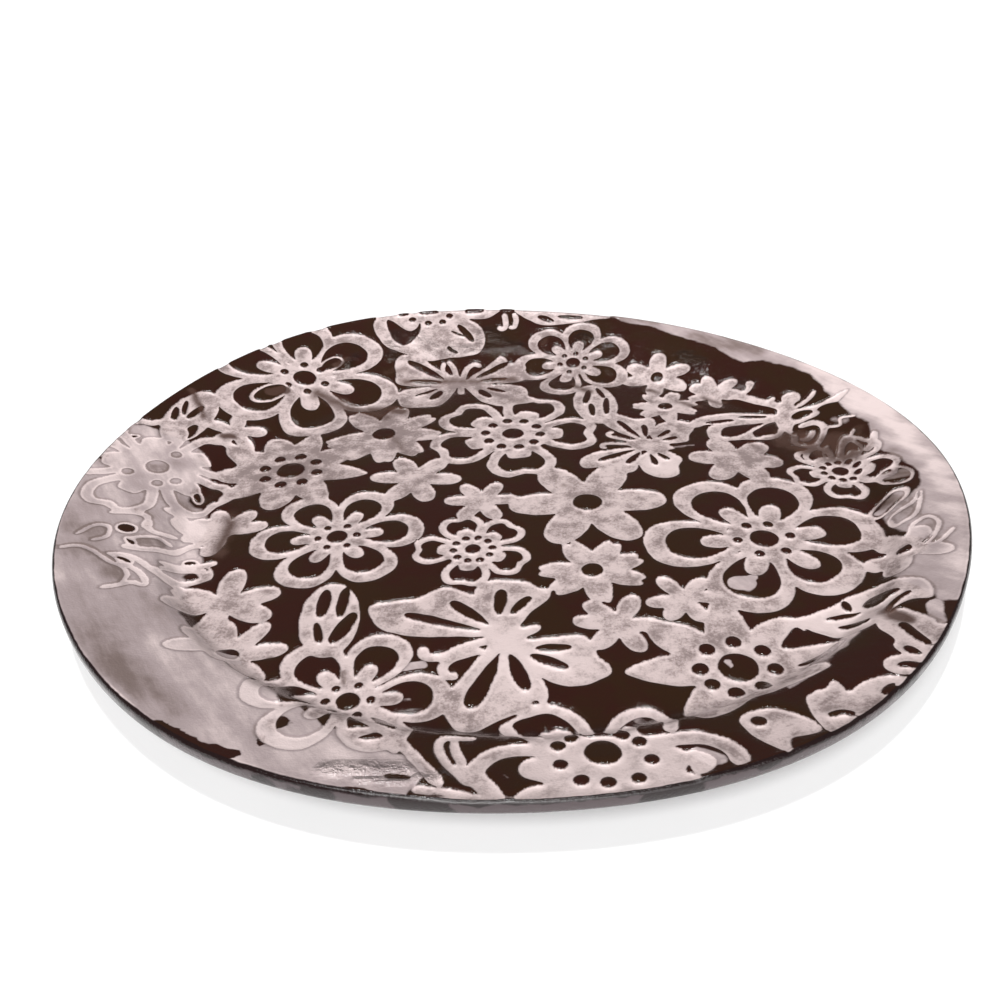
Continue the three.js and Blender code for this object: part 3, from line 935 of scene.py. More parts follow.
# Areas where white glaze floods lace and ground alike: outline, softness of its border
FLOODS = [
    (
        [
            (-178, 46), (-160, 46), (-149, 42), (-138, 38), (-132, 30), (-129, 20), (-133, 12), (-134, 0),
            (-126, -6), (-123, -18), (-122, -30), (-118, -40), (-122, -49), (-120, -56), (-121, -66),
            (-117, -75), (-110, -83), (-101, -94), (-93, -105), (-82, -111), (-75, -119), (-71, -128),
            (-73, -140), (-76, -150), (-78, -165), (-200, -165), (-200, 46),
        ],
        5,
    ),
    (
        [
            (20, 168), (55, 152), (65, 146), (80, 136), (95, 124), (105, 116), (112, 106), (120, 96),
            (128, 93), (140, 81), (147, 73), (148, 60), (152, 50), (154, 38), (158, 28), (156, 12),
            (159, 2), (162, -14), (157, -25), (148, -30), (142, -34), (143, -48), (147, -56), (146, -64),
            (138, -66), (133, -72), (130, -77), (134, -84), (136, -92), (141, -98), (200, -110), (200, 180),
            (20, 200),
        ],
        4,
    ),
    (
        [
            (-76, -138), (-66, -134), (-55, -136), (-48, -143), (-41, -147), (-34, -149), (-29, -154),
            (-31, -161), (-40, -170), (-80, -168),
        ],
        2.5,
    ),
]

# Brown patches that the flood left at its border: start, end, radius, softness, strength
CLEARINGS = [
    (-104, -135, -94, -141, 1.8, 1.0, 1),
    (-93, -143, -80, -147, 2.2, 1.0, 1),
    (-101, -139, -90, -146, 1.2, 1.0, 0.9),
    (-73.5, -133, -71, -134.5, 1.8, 0.8, 1),
    (-49, -160.8, -35, -164.8, 0.9, 0.9, 1),
    (-38, -156, -33, -157, 1.2, 1.0, 0.8),
    (-74.5, -138.5, -73.5, -143, 1.0, 0.8, 0.9),
    (-80, -104, -74, -110, 1.6, 0.8, 0.9),
    (-113, -75, -110, -80, 1.2, 0.8, 0.9),
]

# Thin smears of milky glaze over the ground: start, end, radius, softness, strength
SMEARS = [
    (106, -102, 88, -117, 2.6, 2.6, 0.75),
    (100, -103, 92, -116, 3.0, 3.0, 0.55),
    (90, -121, 78, -127, 1.2, 2.0, 0.75),
    (-38, -103.5, -30.5, -103, 2.0, 1.0, 0.75),
    (77.5, -67.5, 81, -68.5, 3.8, 1.2, 0.75),
    (83.5, -66, 84, -66, 1.8, 1.0, 0.7),
    (66, -108, 66.5, -110, 1.1, 0.8, 0.75),
    (74, 30, 82, 32, 1.0, 1.4, 0.6),
    (-96.8, -97, -94.3, -97, 3.4, 0.7, 0.9),
    (-28, -134, -6, -137, 3.0, 3.0, 0.42),
    (33, -131.5, 38, -137, 2.5, 2.0, 0.45),
    (-8, -156, -4, -161, 1.4, 3.0, 0.4),
    (-68, -126, -74, -131, 3.0, 3.0, 0.5),
    (-68.5, -128, -62, -135, 3.0, 1.4, 0.9),
    (-42, -146, -34, -149, 1.6, 2.0, 0.6),
    (46, -153, 50, -157, 2.6, 1.6, 0.7),
    (134, -96, 130, -106, 2.4, 1.5, 0.7),
    (-39, -118, -35, -118.5, 1.4, 1.2, 0.5),
    (142, -29.5, 151, -24, 2.2, 1.5, 0.62),
    (152, -11, 157, -12, 3.5, 2.0, 0.62),
    (146, 38, 150, 34, 3.0, 3.0, 0.45),
    (-63, -125, -55, -123, 2.0, 2.0, 0.5),
    (-44, -127, -36, -132, 2.4, 2.0, 0.5),
]

# Brown wiped over the lace: start, end, radius, softness, strength
SMUDGES = [
    (-114, -10, -113, -34, 2.5, 6, 1.0),
    (-117, -22, -114, -31, 2, 4, 0.5),
    (-92, 92, -58, 74, 4, 6, 0.8),
    (-52, 52, -46, 38, 3, 5, 0.6),
    (-66, 82, -50, 80, 4, 6, 0.8),
    (-60, 112, -50, 118, 2, 4, 0.6),
    (-50, 108, 6, 109, 2.5, 5, 0.75),
    (-8, 98, 8, 84, 3, 6, 0.55),
    (6, 97, 6, 93, 0.8, 2, 0.6),
    (-114.5, 89, -108, 93, 2.8, 1.4, 0.9),
    (-86, 117, -80, 122, 2.2, 1.4, 0.7),
    (84, 76, 92, 68, 2.5, 4, 0.7),
    (72, 90, 76, 87, 2, 3, 0.7),
    (98, 79, 104, 71, 2, 3, 0.7),
    (108, 32, 110, 27, 1.8, 3, 0.6),
    (-45.5, -76.3, -41.5, -76, 0.8, 2.0, 0.9),
    (22, 4, 27, 0, 1.5, 4, 0.5),
    (-129, 50, -126, 52, 2.2, 2, 0.9),
    (-150, 80, -141, 62, 1.8, 3, 0.9),
    (-84, -95, -82.5, -95.5, 0.5, 1.6, 1.0),
    (119, -95, 123, -101, 2.6, 3.0, 1.0),
    (116, -90, 122, -93, 0.8, 2.0, 0.5),
    (36, 98, 42, 92, 2.2, 4, 0.8),
    (22, 108, 28, 97, 1.2, 3, 0.5),
    (63, 27, 80, 31, 1.0, 2.5, 0.5),
    (-57, -104, -57, -109, 0.8, 1.6, 0.8),
    (26, 141, 22, 133, 2.0, 3.0, 0.5),
    (126, 32, 146, 16, 9, 5, 0.75),
    (148, 12, 153, 26, 3, 4, 0.6),
    (128, 36, 136, 28, 2, 3, 0.6),
    (104, -106, 84, -121, 0.6, 1.8, 0.6),
    (-19.5, -127.5, -18, -126, 0.6, 2, 0.45),
    (3.6, -121.5, 3.8, -121, 0.5, 0.9, 0.9),
    (152, -9, 158, -13, 2.4, 3, 0.55),
    (145, -26, 145.4, -26.3, 2.0, 3, 0.7),
]

# Greyer or whiter glaze: start, end, radius, softness, change of tone
TONES = [
    (-95, 26, -95, 26, 22, 18, -0.5),
    (-57, 58, -48, 62, 18, 16, -0.45),
    (-30, 106, -12, 106, 20, 18, -0.35),
    (98, 22, 108, 16, 12, 10, -0.35),
    (-40, 14, -44, 14, 10, 10, -0.15),
    (30, -8, 30, -12, 10, 10, -0.2),
    (37, 118, 37, 118, 30, 16, -0.3),
    (-5, -95, 8, -105, 14, 14, 0.4),
    (20, -150, 20, -150, 26, 12, 0.35),
    (110, -86, 100, -94, 12, 8, 0.6),
    (66, 18, 68, 14, 7, 5, 0.5),
    (48, 40, 76, 44, 6, 6, -0.25),
    (-64, -146, -52, -150, 8, 6, 0.4),
    (-165, 10, -160, 38, 5, 8, 0.2),
    (-150, 20, -146, 8, 14, 10, -0.3),
    (-129, -15, -126, -50, 6, 6, 0.4),
    (150, 90, 164, 40, 8, 5, 0.6),
    (166, 40, 168, -30, 4, 4, 0.6),
    (160, -45, 150, -80, 5, 5, 0.35),
    (100, 124, 128, 100, 3.5, 4, -0.7),
    (54, 154, 84, 140, 3, 4, -0.6),
    (160, 4, 164, -8, 4, 3, -0.7),
    (155, -10, 154, -13, 4.0, 2, -0.9),
    (145, -26, 146, -26, 3.4, 2, -0.9),
    (148, -38, 152, -32, 3, 4, -0.5),
    (152, -52, 156, -46, 3, 4, -0.35),
    (146, -68, 150, -62, 3, 4, -0.45),
    (-141, -34, -136, -33, 3, 2, -0.7),
    (-159, -31, -158, -34, 4.5, 2, -0.7),
    (-158, -44, -144, -56, 4.5, 4, -0.65),
    (-168, -20, -166, -32, 4, 4, -0.4),
    (-128, -47, -122, -48, 2.5, 2, -0.6),
    (-132, -84, -124, -80, 7, 12, -0.3),
    (-150, -70, -134, -100, 5, 9, -0.4),
    (-126, -108, -100, -130, 4, 8, -0.8),
    (-140, -96, -112, -122, 3, 9, -0.3),
    (-116, -90, -88, -122, 6, 8, 0.1),
    (-132, -113, -114, -128, 0.8, 1.6, 1.1),
    (-128, -119, -112, -131, 0.6, 1.4, -0.9),
    (-90, -122, -80, -136, 5, 7, 0.2),
    (-136, -4, -140, -14, 4, 4, -0.3),
    (-150, 18, -149, 18, 3.5, 1.5, -0.6),
    (-143, 24, -138, 26, 4, 3, -0.25),
    (-157, 10, -152, 4, 3, 3, -0.3),
]

# Ripples in the glaze that catch the light: start, end, radius, softness, strength
RIPPLES = [
    (-58, 126, -56, 143, 3.5, 3, 1),
    (-46, 144, -36, 134, 4, 4, 0.9),
    (-26, 132, -12, 134, 3, 3, 1),
    (-13, 134, -10, 146, 2.5, 2, 1),
    (-6, 145, 3, 134, 3.5, 3, 1),
    (-6, 134, 10, 133, 2.5, 3, 1),
    (40, 128, 44, 136, 3, 2, 1),
    (46, 136, 58, 129, 2, 3, 0.8),
    (92, 110, 99, 100, 3, 2, 1),
    (-54, -153, -35, -153.5, 2.2, 2, 1),
    (-46, -157, -34, -158.5, 1.2, 1.5, 0.8),
    (-30, -157.5, -24, -158, 1.5, 1.5, 0.8),
    (112, 80, 120, 78, 2.5, 2, 0.8),
    (-80, 118, -76, 124, 2, 2, 0.8),
]


def glaze_shares(places):
    """How far each place is flooded, toned, smudged and rippled."""
    # The glaze's borders wander by 1.6 mm over 14 mm, and by 0.7 mm over 4 mm
    places = wobble(wobble(places, 14, 1.6, 11), 4, 0.7, 13)
    veil = np.zeros(len(places))
    for outline, soft in FLOODS:
        veil = np.maximum(veil, inside_share(places, outline, soft))
    veil *= 1 - brushed_share(places, CLEARINGS).max(0)
    veil = np.maximum(veil, brushed_share(places, SMEARS).max(0))
    return {
        "veil": veil,
        "tone": brushed_share(places, TONES).sum(0),
        "smudge": brushed_share(places, SMUDGES).max(0),
        "ripple": brushed_share(places, RIPPLES).max(0),
    }


def opened(veil, places):
    """The veil without the openings that stayed brown."""
    for x0, y0, x1, y1, half in BARE:
        veil = veil * (1 - inside_share(places, blade(x0, y0, x1, y1, half)[1], 0.3))
    return veil


def inside_share(places, outline, soft):
    """1 inside an outline, 0 outside, soft across its border."""
    run = curved(outline, True, 2)
    hit = inside(places, run)
    gap = np.full(len(places), 1e9)
    for (x0, y0), (x1, y1) in zip(run, run[1:] + run[:1]):
        start, span = np.array((x0, y0)), np.array((x1 - x0, y1 - y0))
        share = np.clip((places - start) @ span / max(span @ span, 1e-9), 0, 1)
        gap = np.minimum(gap, np.hypot(*(places - start - share[:, None] * span).T))
    return smooth(0.5 + np.where(hit, gap, -gap) / (2 * soft))


def brushed_share(places, strokes):
    """The share of each brush stroke at each place, one row a stroke."""
    rows = []
    for x0, y0, x1, y1, radius, soft, strength in strokes:
        start, span = np.array((x0, y0)), np.array((x1 - x0, y1 - y0))
        share = np.clip((places - start) @ span / max(span @ span, 1e-9), 0, 1)
        gap = np.hypot(*(places - start - share[:, None] * span).T)
        rows.append(strength * smooth(0.5 + (radius - gap) / (2 * soft)))
    return np.array(rows)


def painted_finely(places):
    """Where the glaze is painted in detail, so the net is finer there."""
    found = np.zeros(len(places), bool)
    for outline, soft in FLOODS:
        found |= inside_share(places, outline, soft) > 0.02
    return found | (brushed_share(places, SMEARS + SMUDGES + RIPPLES).max(0) > 0.05)


# Materials


def linear(code):
    """An sRGB hex colour as linear red, green, blue and alpha."""
    parts = [int(code[k : k + 2], 16) / 255 for k in (1, 3, 5)]
    return [part / 12.92 if part <= 0.04045 else ((part + 0.055) / 1.055) ** 2.4 for part in parts] + [1.0]


def add(tree, kind, inputs=None, out=None, **settings):
    """A node with its settings; an input is a value, or the socket that feeds it. Gives an output."""
    node = tree.nodes.new(kind)
    for name, value in settings.items():
        setattr(node, name, value)
    for key, value in (inputs or {}).items():
        if isinstance(value, bpy.types.NodeSocket):
            tree.links.new(value, node.inputs[key])
        else:
            node.inputs[key].default_value = value
    if out is not None:
        return node.outputs[out]
    return next((socket for socket in node.outputs if socket.enabled), node)


NOISE, MATH, MIX = "ShaderNodeTexNoise", "ShaderNodeMath", "ShaderNodeMix"
RANGE, VECTOR, ATTRIBUTE = "ShaderNodeMapRange", "ShaderNodeVectorMath", "ShaderNodeAttribute"


def glazed_stoneware(colours):
    """Glazed stoneware: dipped in brown, its pressed lace filled with milky glaze, fired glossy.

    Thick glaze gives sharp reflections that break along the lace's borders. The milky glaze is
    brightest along those borders, and mottled where it lies thin over the brown.
    """
    material = bpy.data.materials.new("glazed_stoneware")
    material.use_nodes = True
    tree = material.node_tree
    tree.nodes.clear()
    easy = {"interpolation_type": "SMOOTHSTEP"}
    place = add(tree, "ShaderNodeTexCoord", out="Object")
    mm = add(tree, VECTOR, {0: place, "Scale": 1000.0}, operation="SCALE")
    lace = add(tree, ATTRIBUTE, out="Fac", attribute_name="lace")
    veil = add(tree, ATTRIBUTE, out="Fac", attribute_name="veil")
    tone = add(tree, ATTRIBUTE, out="Fac", attribute_name="tone")
    smudge = add(tree, ATTRIBUTE, out="Fac", attribute_name="smudge")
    past = add(tree, ATTRIBUTE, out="Fac", attribute_name="past_edge")

    # Cloudiness of the milky glaze, 6 mm and 1 mm across, and the wander of its borders
    cloud = add(tree, NOISE, {"Vector": mm, "Scale": 0.15, "Detail": 5.0, "Roughness": 0.62}, "Fac")
    specks = add(tree, NOISE, {"Vector": mm, "Scale": 1.0, "Detail": 4.0, "Roughness": 0.75}, "Fac")
    fray = add(tree, NOISE, {"Vector": mm, "Scale": 0.8, "Detail": 4.0, "Roughness": 0.65}, "Fac")
    stray = add(tree, MATH, {0: fray, 1: 0.5}, operation="SUBTRACT")
    gap = add(tree, MATH, {0: stray, 1: 0.9, 2: lace}, operation="MULTIPLY_ADD")
    in_lace_share = add(tree, RANGE, {0: gap, 1: -0.22, 2: 0.28}, **easy)
    near_border = add(tree, RANGE, {0: gap, 1: 1.7, 2: 0.4}, **easy)

    # Brown ground, with reddish and olive drifts 25 mm across and a few pale grains
    drift = add(tree, NOISE, {"Vector": mm, "Scale": 0.045, "Detail": 5.0, "Roughness": 0.6}, "Fac")
    drift = add(tree, RANGE, {0: drift, 1: 0.38, 2: 0.62}, **easy)
    ground = add(tree, MIX, {0: drift, 6: colours.ground, 7: colours.ground_drift}, data_type="RGBA")
    grains = add(tree, RANGE, {0: specks, 1: 0.62, 2: 0.8, 4: 0.4}, **easy)
    ground = add(tree, MIX, {0: grains, 6: ground, 7: colours.smudge}, data_type="RGBA")

    # Milky glaze in the lace
    mottle = add(tree, MATH, {0: specks, 1: 0.5, 2: cloud}, operation="MULTIPLY_ADD")
    mottle = add(tree, MATH, {0: tone, 1: 0.25, 2: mottle}, operation="MULTIPLY_ADD")
    mottle = add(tree, RANGE, {0: mottle, 1: 0.56, 2: 0.88}, **easy)
    pool = add(tree, MIX, {0: mottle, 6: colours.pool_thin, 7: colours.pool_thick}, data_type="RGBA")
    bright = add(tree, MATH, {0: near_border, 1: 0.5, 2: tone}, operation="MULTIPLY_ADD", use_clamp=True)
    milk = add(tree, MIX, {0: bright, 6: pool, 7: colours.milk}, data_type="RGBA")
    face = add(tree, MIX, {0: in_lace_share, 6: ground, 7: milk}, data_type="RGBA")

    # Flood of glaze over lace and ground alike, brushed on in long streaks
    along = add(
        tree,
        "ShaderNodeMapping",
        {0: mm, "Rotation": (0, 0, math.radians(-56)), "Scale": (5, 1, 1)},
        vector_type="TEXTURE",
    )
    streak = add(tree, NOISE, {"Vector": along, "Scale": 0.13, "Detail": 5.0, "Roughness": 0.6}, "Fac")
    soft_veil = add(tree, MATH, {0: cloud, 1: 0.45, 2: veil}, operation="MULTIPLY_ADD")
    veil_share = add(tree, RANGE, {0: soft_veil, 1: 0.55, 2: 0.8}, **easy)
    ridge = add(tree, RANGE, {0: gap, 1: -0.2, 2: 0.4, 4: 0.4}, **easy)
    ridge_line = add(tree, RANGE, {0: gap, 1: 1.6, 2: 0.5, 4: 1.0}, **easy)
    ridge = add(tree, MATH, {0: ridge, 1: ridge_line, 2: ridge}, operation="MULTIPLY_ADD")
    depth = add(tree, MATH, {0: cloud, 1: 0.35, 2: streak}, operation="MULTIPLY_ADD")
    depth = add(tree, MATH, {0: tone, 1: 0.5, 2: depth}, operation="MULTIPLY_ADD")
    depth = add(tree, MATH, {0: ridge, 1: 0.42, 2: depth}, operation="MULTIPLY_ADD")
    seam = add(tree, RANGE, {0: gap, 1: -1.3, 2: -0.3}, **easy)
    seam_end = add(tree, RANGE, {0: gap, 1: 0.3, 2: -0.1, 4: 0.24}, **easy)
    seam = add(tree, MATH, {0: seam, 1: seam_end}, operation="MULTIPLY")
    depth = add(tree, MATH, {0: depth, 1: seam}, operation="SUBTRACT")
    thin = add(tree, RANGE, {0: depth, 1: 0.15, 2: 0.65}, **easy)
    thick = add(tree, RANGE, {0: depth, 1: 0.58, 2: 1.1}, **easy)
    wash = add(tree, MIX, {0: thin, 6: colours.veil_dark, 7: colours.veil_thin}, data_type="RGBA")
    wash = add(tree, MIX, {0: thick, 6: wash, 7: colours.milk}, data_type="RGBA")
    face = add(tree, MIX, {0: veil_share, 6: face, 7: wash}, data_type="RGBA")

    # Wiped smudges of brown, in clouds 4 mm across
    smear = add(tree, MATH, {0: cloud, 1: 0.9, 2: smudge}, operation="MULTIPLY_ADD")
    smear = add(tree, RANGE, {0: smear, 1: 0.6, 2: 1.25, 4: 0.92}, **easy)
    face = add(tree, MIX, {0: smear, 6: face, 7: colours.smudge}, data_type="RGBA")

    # Bare edge: a dark break line at its corner, then grey brown glaze with dark blotches
    blotch = add(tree, NOISE, {"Vector": mm, "Scale": 0.05, "Detail": 3.0, "Roughness": 0.5}, "Fac")
    blotch = add(tree, RANGE, {0: blotch, 1: 0.52, 2: 0.56}, **easy)
    side = add(tree, MIX, {0: blotch, 6: colours.edge, 7: colours.edge_dark}, data_type="RGBA")
    sway = add(tree, NOISE, {"Vector": mm, "Scale": 0.12, "Detail": 4.0, "Roughness": 0.6}, "Fac")
    sway = add(tree, MATH, {0: sway, 1: 0.5}, operation="SUBTRACT")
    break_end = add(tree, MATH, {0: sway, 1: 4.0, 2: past}, operation="MULTIPLY_ADD")
    line = add(tree, RANGE, {0: break_end, 1: 3.0, 2: 2.3}, **easy)
    side = add(tree, MIX, {0: line, 6: side, 7: colours.edge_dark}, data_type="RGBA")
    break_start = add(tree, MATH, {0: sway, 1: past}, operation="ADD")
    past_share = add(tree, RANGE, {0: break_start, 1: 0.5, 2: 1.0}, **easy)
    colour = add(tree, MIX, {0: past_share, 6: face, 7: side}, data_type="RGBA")

    # Glossy ground and silkier lace, with fine pits 0.7 mm across and ripples 3 mm across
    rough = add(tree, RANGE, {0: in_lace_share, 3: 0.14, 4: 0.26})
    pits = add(tree, NOISE, {"Vector": mm, "Scale": 1.4, "Detail": 3.0, "Roughness": 0.6}, "Fac")
    pits = add(tree, MATH, {0: pits, 1: 0.1}, operation="MULTIPLY")
    ripple = add(tree, ATTRIBUTE, out="Fac", attribute_name="ripple")
    waves = add(tree, NOISE, {"Vector": mm, "Scale": 0.35, "Detail": 3.0, "Roughness": 0.55}, "Fac")
    swell = add(tree, MATH, {0: ripple, 1: 3.4, 2: 0.15}, operation="MULTIPLY_ADD")
    relief = add(tree, MATH, {0: waves, 1: swell, 2: pits}, operation="MULTIPLY_ADD")
    bump = add(tree, "ShaderNodeBump", {"Height": relief, "Distance": 0.001}, "Normal")
    skin = add(
        tree,
        "ShaderNodeBsdfPrincipled",
        {"Base Color": colour, "Roughness": rough, "IOR": 1.5, "Specular IOR Level": 0.5, "Normal": bump},
        "BSDF",
    )
    add(tree, "ShaderNodeOutputMaterial", {"Surface": skin})
    return material


def plain_paper():
    """Matt white paper sweep: even and without gloss, so it only carries a soft shadow."""
    material = bpy.data.materials.new("white_paper_sweep")
    material.use_nodes = True
    tree = material.node_tree
    tree.nodes.clear()
    place = add(tree, "ShaderNodeTexCoord", out="Object")
    tooth = add(tree, NOISE, {"Vector": place, "Scale": 3.0, "Detail": 2.0}, "Fac")
    white, shade = linear("#fcfcfc"), linear("#fafafa")
    colour = add(tree, MIX, {0: tooth, 6: white, 7: shade}, data_type="RGBA")
    skin = add(tree, "ShaderNodeBsdfDiffuse", {"Color": colour})
    add(tree, "ShaderNodeOutputMaterial", {"Surface": skin})
    return material


# Sizes and colours that a user would change


def length(name, text, value):
    return FloatProperty(name=name, description=text, default=value * MM, min=0, unit="LENGTH", precision=4)


def shade(name, text, code):
    return FloatVectorProperty(
        name=name, description=text, default=linear(code), size=4, min=0, max=1, subtype="COLOR"
    )


class PlatterSizes(PropertyGroup):
    rim_radius: length("Rim radius", "Mean radius of the outline", 171.2)
    rim_height: length("Rim height", "Mean height of the rim over the floor", 14.2)
    floor_radius: length("Floor radius", "Mean radius of the flat floor", 127)
    step_height: length("Step height", "Mean height of the short rise round the floor", 3.4)
    step_swell: length("Step swell", "How much higher the short rise is at the near side", 2.6)
    step_width: length("Step width", "Width of the short rise", 10)
    floor_thickness: length("Floor thickness", "Thickness of the clay under the floor", 6)
    edge_thickness: length("Edge thickness", "Height of the rim's edge face", 6)
    edge_round: length("Edge rounding", "Rounding of the edge's corners", 2)
    base_inset: length("Base inset", "How far inside the floor's edge the underside rises", 3)
    relief_depth: length("Relief depth", "Depth of the pressed lace", 0.9)
    relief_slope: length("Relief slope", "Half the width of the rounded step at its borders", 0.6)
    border_step: length("Border step", "Spacing of points along the lace's borders", 1.15)
    face_step: length("Face step", "Spacing of points inside the lace and the ground", 2.4)
    segments: IntProperty(name="Segments", description="Points round the rim", default=480, min=48)


class PlatterColours(PropertyGroup):
    ground: shade("Ground", "Brown glaze", "#2f130c")
    ground_drift: shade("Ground drift", "Brown glaze where it turns olive", "#2d190a")
    milk: shade("Milk", "Thick milky glaze", "#e0cecc")
    pool_thin: shade("Thin pool", "Milky glaze, thin over the brown", "#8b7b79")
    pool_thick: shade("Thick pool", "Milky glaze where it pools", "#cdbbb9")
    veil_dark: shade("Thinnest veil", "Flood of glaze with the brown showing", "#7d6d69")
    veil_thin: shade("Thin veil", "Flood of glaze", "#ac9c9c")
    smudge: shade("Smudge", "Brown wiped over the lace", "#4a342c")
    edge: shade("Edge", "Glaze on the edge", "#493e40")
    edge_dark: shade("Edge blotch", "Dark breaks on the edge", "#1c1010")


class StudioSettings(PropertyGroup):
    lens: FloatProperty(name="Lens", description="Focal length in mm", default=33.12, min=10)
    camera_back: length("Camera distance", "How far the camera stands in front", 323.77)
    camera_side: FloatProperty(
        name="Camera side", description="To the right", default=-4.38 * MM, unit="LENGTH"
    )
    camera_height: length("Camera height", "Height of the camera over the floor", 208)
    camera_pitch: FloatProperty(name="Camera pitch", description="Degrees below level", default=32.5)
    camera_roll: FloatProperty(name="Camera roll", description="Degrees", default=-2.65)
    key: FloatProperty(name="Key light", description="Strength of the main light", default=2.5, min=0)
    top: FloatProperty(name="Top light", description="Strength of the light overhead", default=1.0, min=0)
    front: FloatProperty(name="Front light", description="Strength of the low wide light", default=1.8, min=0)
    room: FloatProperty(name="Room light", description="Brightness of the studio", default=0.12, min=0)


# Operators


class PLATTER_OT_add_platter(Operator):
    """Add the glazed platter with its pressed lace"""

    bl_idname = "platter.add_platter"
    bl_label = "Add Platter"

    def execute(self, context):
        noise.seed_set(WOBBLE_SEED)
        sizes = context.scene.platter_sizes
        dish = Dish(sizes)
        pattern = lace_pattern()
        net, gaps, faces = face_net(
            dish, pattern, sizes.border_step / MM, sizes.face_step / MM, sizes.segments
        )
        angle = np.arctan2(net[:, 1], net[:, 0])
        radius = np.hypot(*net.T)
        shares = glaze_shares(net)
        veil = shares["veil"]
        height = dish.height(radius, angle) - dish.sunk(gaps) * (1 - FLOOD_FILL * veil * veil)
        size = HAND_SWELL_SIZE
        rise = [HAND_SWELL * noise.noise(Vector((x / size, y / size, 7))) for x, y in net]
        height += np.array(rise)

        shape = bmesh.new()
        lace = shape.verts.layers.float.new("lace")
        past = shape.verts.layers.float.new("past_edge")
        corners = [shape.verts.new((x * MM, y * MM, z * MM)) for (x, y), z in zip(net, height)]
        for corner, gap in zip(corners, gaps):
            corner[lace] = gap
        for face in faces:
            shape.faces.new([corners[k] for k in face])
        bmesh.ops.recalc_face_normals(shape, faces=shape.faces)
        if sum(face.normal.z for face in shape.faces) < 0:
            bmesh.ops.reverse_faces(shape, faces=shape.faces)
        self.close_under(shape, dish, past)
        bmesh.ops.recalc_face_normals(shape, faces=shape.faces)
        if shape.calc_volume(signed=True) < 0:
            bmesh.ops.reverse_faces(shape, faces=shape.faces)
        open_edges = sum(1 for edge in shape.edges if not edge.is_manifold)
        if open_edges:
            raise RuntimeError(f"the platter isn't closed: {open_edges} open edges")

        mesh = bpy.data.meshes.new("lace_platter")
        shape.to_mesh(mesh)
        shape.free()
        mesh.shade_smooth()
        self.paint(mesh)
        platter = bpy.data.objects.new("lace_platter", mesh)
        context.scene.collection.objects.link(platter)
        mesh.materials.append(glazed_stoneware(context.scene.platter_colours))
        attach(platter, "root")
        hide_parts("platter")
        return {"FINISHED"}

    @staticmethod
    def close_under(shape, dish, past):
        """Draw the face's border out round the edge and in under the dish, and close the base."""
        edges = [edge for edge in shape.edges if edge.is_boundary]
        turns = [math.radians(90 * k / 4) for k in range(1, 5)]

        def profile(angle, sunk):
            """Radius, height and a mark: to 4 the upper corner, to 5 the side, to 9 the lower one."""
            rim, top = dish.rim(angle), dish.top(angle)
            inner, low = rim - dish.edge_round, top - dish.edge_thickness
            base = dish.floor(angle) - dish.base_inset
            rows = []
            for k, turn in enumerate(turns):
                rows.append(
                    (
                        inner + dish.edge_round * math.sin(turn),
                        top - dish.edge_round * (1 - math.cos(turn)) - sunk * (1 - (k + 1) / len(turns)),
                        dish.edge_round * turn,
                    )
                )
            straight = dish.edge_thickness - 2 * dish.edge_round
            for share in (0.5, 1.0):
                rows.append((rim, top - dish.edge_round - share * straight, 4 + share))
            for turn in turns:
                rows.append(
                    (
                        inner + dish.edge_round * math.cos(turn),
                        low + dish.edge_round * (1 - math.sin(turn)),
                        5 + dish.edge_round * turn,
                    )
                )
            for k in range(1, 9):
                share = k / 8
                rows.append((inner + (base - inner) * share, low * (1 - share), 9 + share))
            rows.append((base - 2, 0, 11))
            return rows

        rows = {}
        for edge in edges:
            for corner in edge.verts:
                if corner not in rows:
                    x, y, z = corner.co / MM
                    angle = math.atan2(y, x)
                    sunk = dish.height(math.hypot(x, y), angle) - z
                    rows[corner] = (angle, profile(angle, sunk))
        for level in range(len(next(iter(rows.values()))[1])):
            made = bmesh.ops.extrude_edge_only(shape, edges=edges)["geom"]
            fresh = [item for item in made if isinstance(item, bmesh.types.BMVert)]
            edges = [item for item in made if isinstance(item, bmesh.types.BMEdge)]
            edges = [edge for edge in edges if all(corner in set(fresh) for corner in edge.verts)]
            moved = {}
            for corner in fresh:
                old = next(
                    other
                    for edge in corner.link_edges
                    for other in (edge.other_vert(corner),)
                    if other in rows and (other.co - corner.co).length < 1e-9
                )
                angle, steps = rows[old]
                radius, height, gone = steps[level]
                moved[corner] = (angle, steps)
                corner[past] = gone
                corner.co = Vector((radius * math.cos(angle), radius * math.sin(angle), height)) * MM
            rows = moved
        bmesh.ops.edgenet_fill(shape, edges=edges)

    @staticmethod
    def paint(mesh):
        """Mark where the glaze floods, lies thick and was wiped."""
        co = np.zeros(len(mesh.vertices) * 3, np.float32)
        mesh.vertices.foreach_get("co", co)
        places = co.reshape(-1, 3)[:, :2].astype(float) / MM
        shares = glaze_shares(places)
        shares["veil"] = opened(shares["veil"], places)
        for name, values in shares.items():
            layer = mesh.attributes.new(name, "FLOAT", "POINT")
            layer.data.foreach_set("value", values.astype(np.float32))


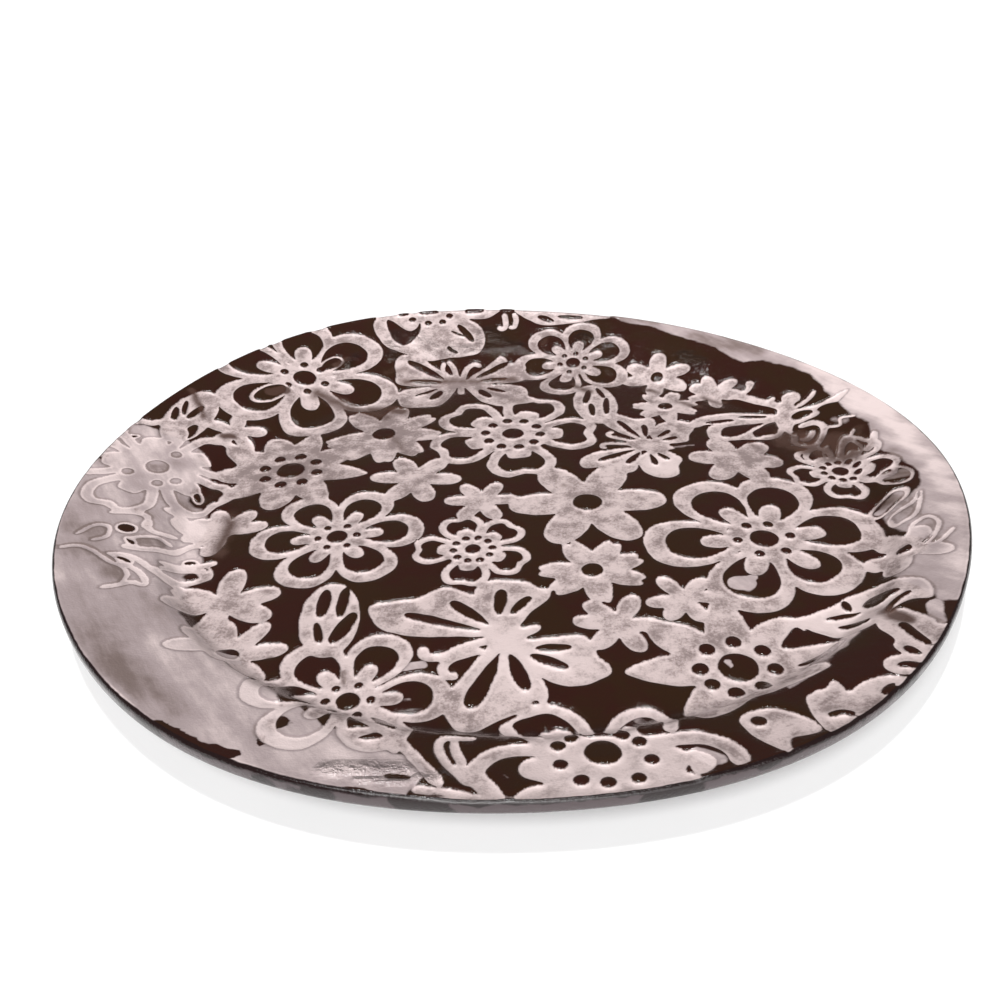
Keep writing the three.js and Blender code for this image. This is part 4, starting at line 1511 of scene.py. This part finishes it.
class PLATTER_OT_add_studio(Operator):
    """Add the pale floor, the soft lights and the camera"""

    bl_idname = "platter.add_studio"
    bl_label = "Add Studio"

    def execute(self, context):
        settings = context.scene.platter_studio
        shape = bmesh.new()
        bmesh.ops.create_grid(shape, x_segments=2, y_segments=2, size=15)
        mesh = bpy.data.meshes.new("paper_floor")
        shape.to_mesh(mesh)
        shape.free()
        floor = bpy.data.objects.new("paper_floor", mesh)
        mesh.materials.append(plain_paper())
        context.scene.collection.objects.link(floor)

        # Strength, spread, tilt towards the camera's side and turn, in degrees
        for name, strength, spread, tilt, turn in (
            ("key_light", settings.key, 34, 40, -15),
            ("top_light", settings.top, 4, -8, 20),
            ("front_light", settings.front, 60, 68, 10),
        ):
            light = bpy.data.lights.new(name, "SUN")
            light.energy = strength
            light.angle = math.radians(spread)
            lamp = bpy.data.objects.new(name, light)
            lamp.rotation_euler = (math.radians(tilt), 0, math.radians(turn))
            lamp.location = (0, 0, 2)
            context.scene.collection.objects.link(lamp)

        world = bpy.data.worlds.new("studio")
        world.use_nodes = True
        back = next(node for node in world.node_tree.nodes if node.type == "BACKGROUND")
        back.inputs["Color"].default_value = (1, 1, 1, 1)
        back.inputs["Strength"].default_value = settings.room
        context.scene.world = world
        context.scene.view_settings.view_transform = "Standard"
        context.scene.view_settings.look = "None"

        lens = bpy.data.cameras.new("camera")
        lens.lens = settings.lens
        lens.sensor_width = 36
        lens.clip_end = 100
        camera = bpy.data.objects.new("camera", lens)
        place = Matrix.Translation((settings.camera_side, -settings.camera_back, settings.camera_height))
        pitch = Matrix.Rotation(math.radians(90 - settings.camera_pitch), 4, "X")
        roll = Matrix.Rotation(math.radians(settings.camera_roll), 4, "Z")
        camera.matrix_world = place @ pitch @ roll
        context.scene.collection.objects.link(camera)
        context.scene.camera = camera
        return {"FINISHED"}


class PLATTER_PT_panel(Panel):
    """Sizes, colours and studio of the platter, with buttons that add the platter and the studio"""

    bl_label = "Lace Platter"
    bl_idname = "PLATTER_PT_panel"
    bl_space_type = "VIEW_3D"
    bl_region_type = "UI"
    bl_category = "Platter"

    def draw(self, context):
        layout = self.layout
        scene = context.scene
        for title, group in (
            ("Sizes", scene.platter_sizes),
            ("Colours", scene.platter_colours),
            ("Studio", scene.platter_studio),
        ):
            box = layout.box()
            box.label(text=title)
            for name in group.__annotations__:
                box.prop(group, name)
        layout.operator(PLATTER_OT_add_platter.bl_idname)
        layout.operator(PLATTER_OT_add_studio.bl_idname)


CLASSES = (
    PlatterSizes,
    PlatterColours,
    StudioSettings,
    PLATTER_OT_add_platter,
    PLATTER_OT_add_studio,
    PLATTER_PT_panel,
)


def register():
    for each in CLASSES:
        bpy.utils.register_class(each)
    bpy.types.Scene.platter_sizes = PointerProperty(type=PlatterSizes)
    bpy.types.Scene.platter_colours = PointerProperty(type=PlatterColours)
    bpy.types.Scene.platter_studio = PointerProperty(type=StudioSettings)


def unregister():
    del bpy.types.Scene.platter_studio
    del bpy.types.Scene.platter_colours
    del bpy.types.Scene.platter_sizes
    for each in reversed(CLASSES):
        bpy.utils.unregister_class(each)


def main():
    register()
    bpy.ops.platter.add_studio()
    bpy.ops.platter.add_platter()


if __name__ == "__main__":
    main()
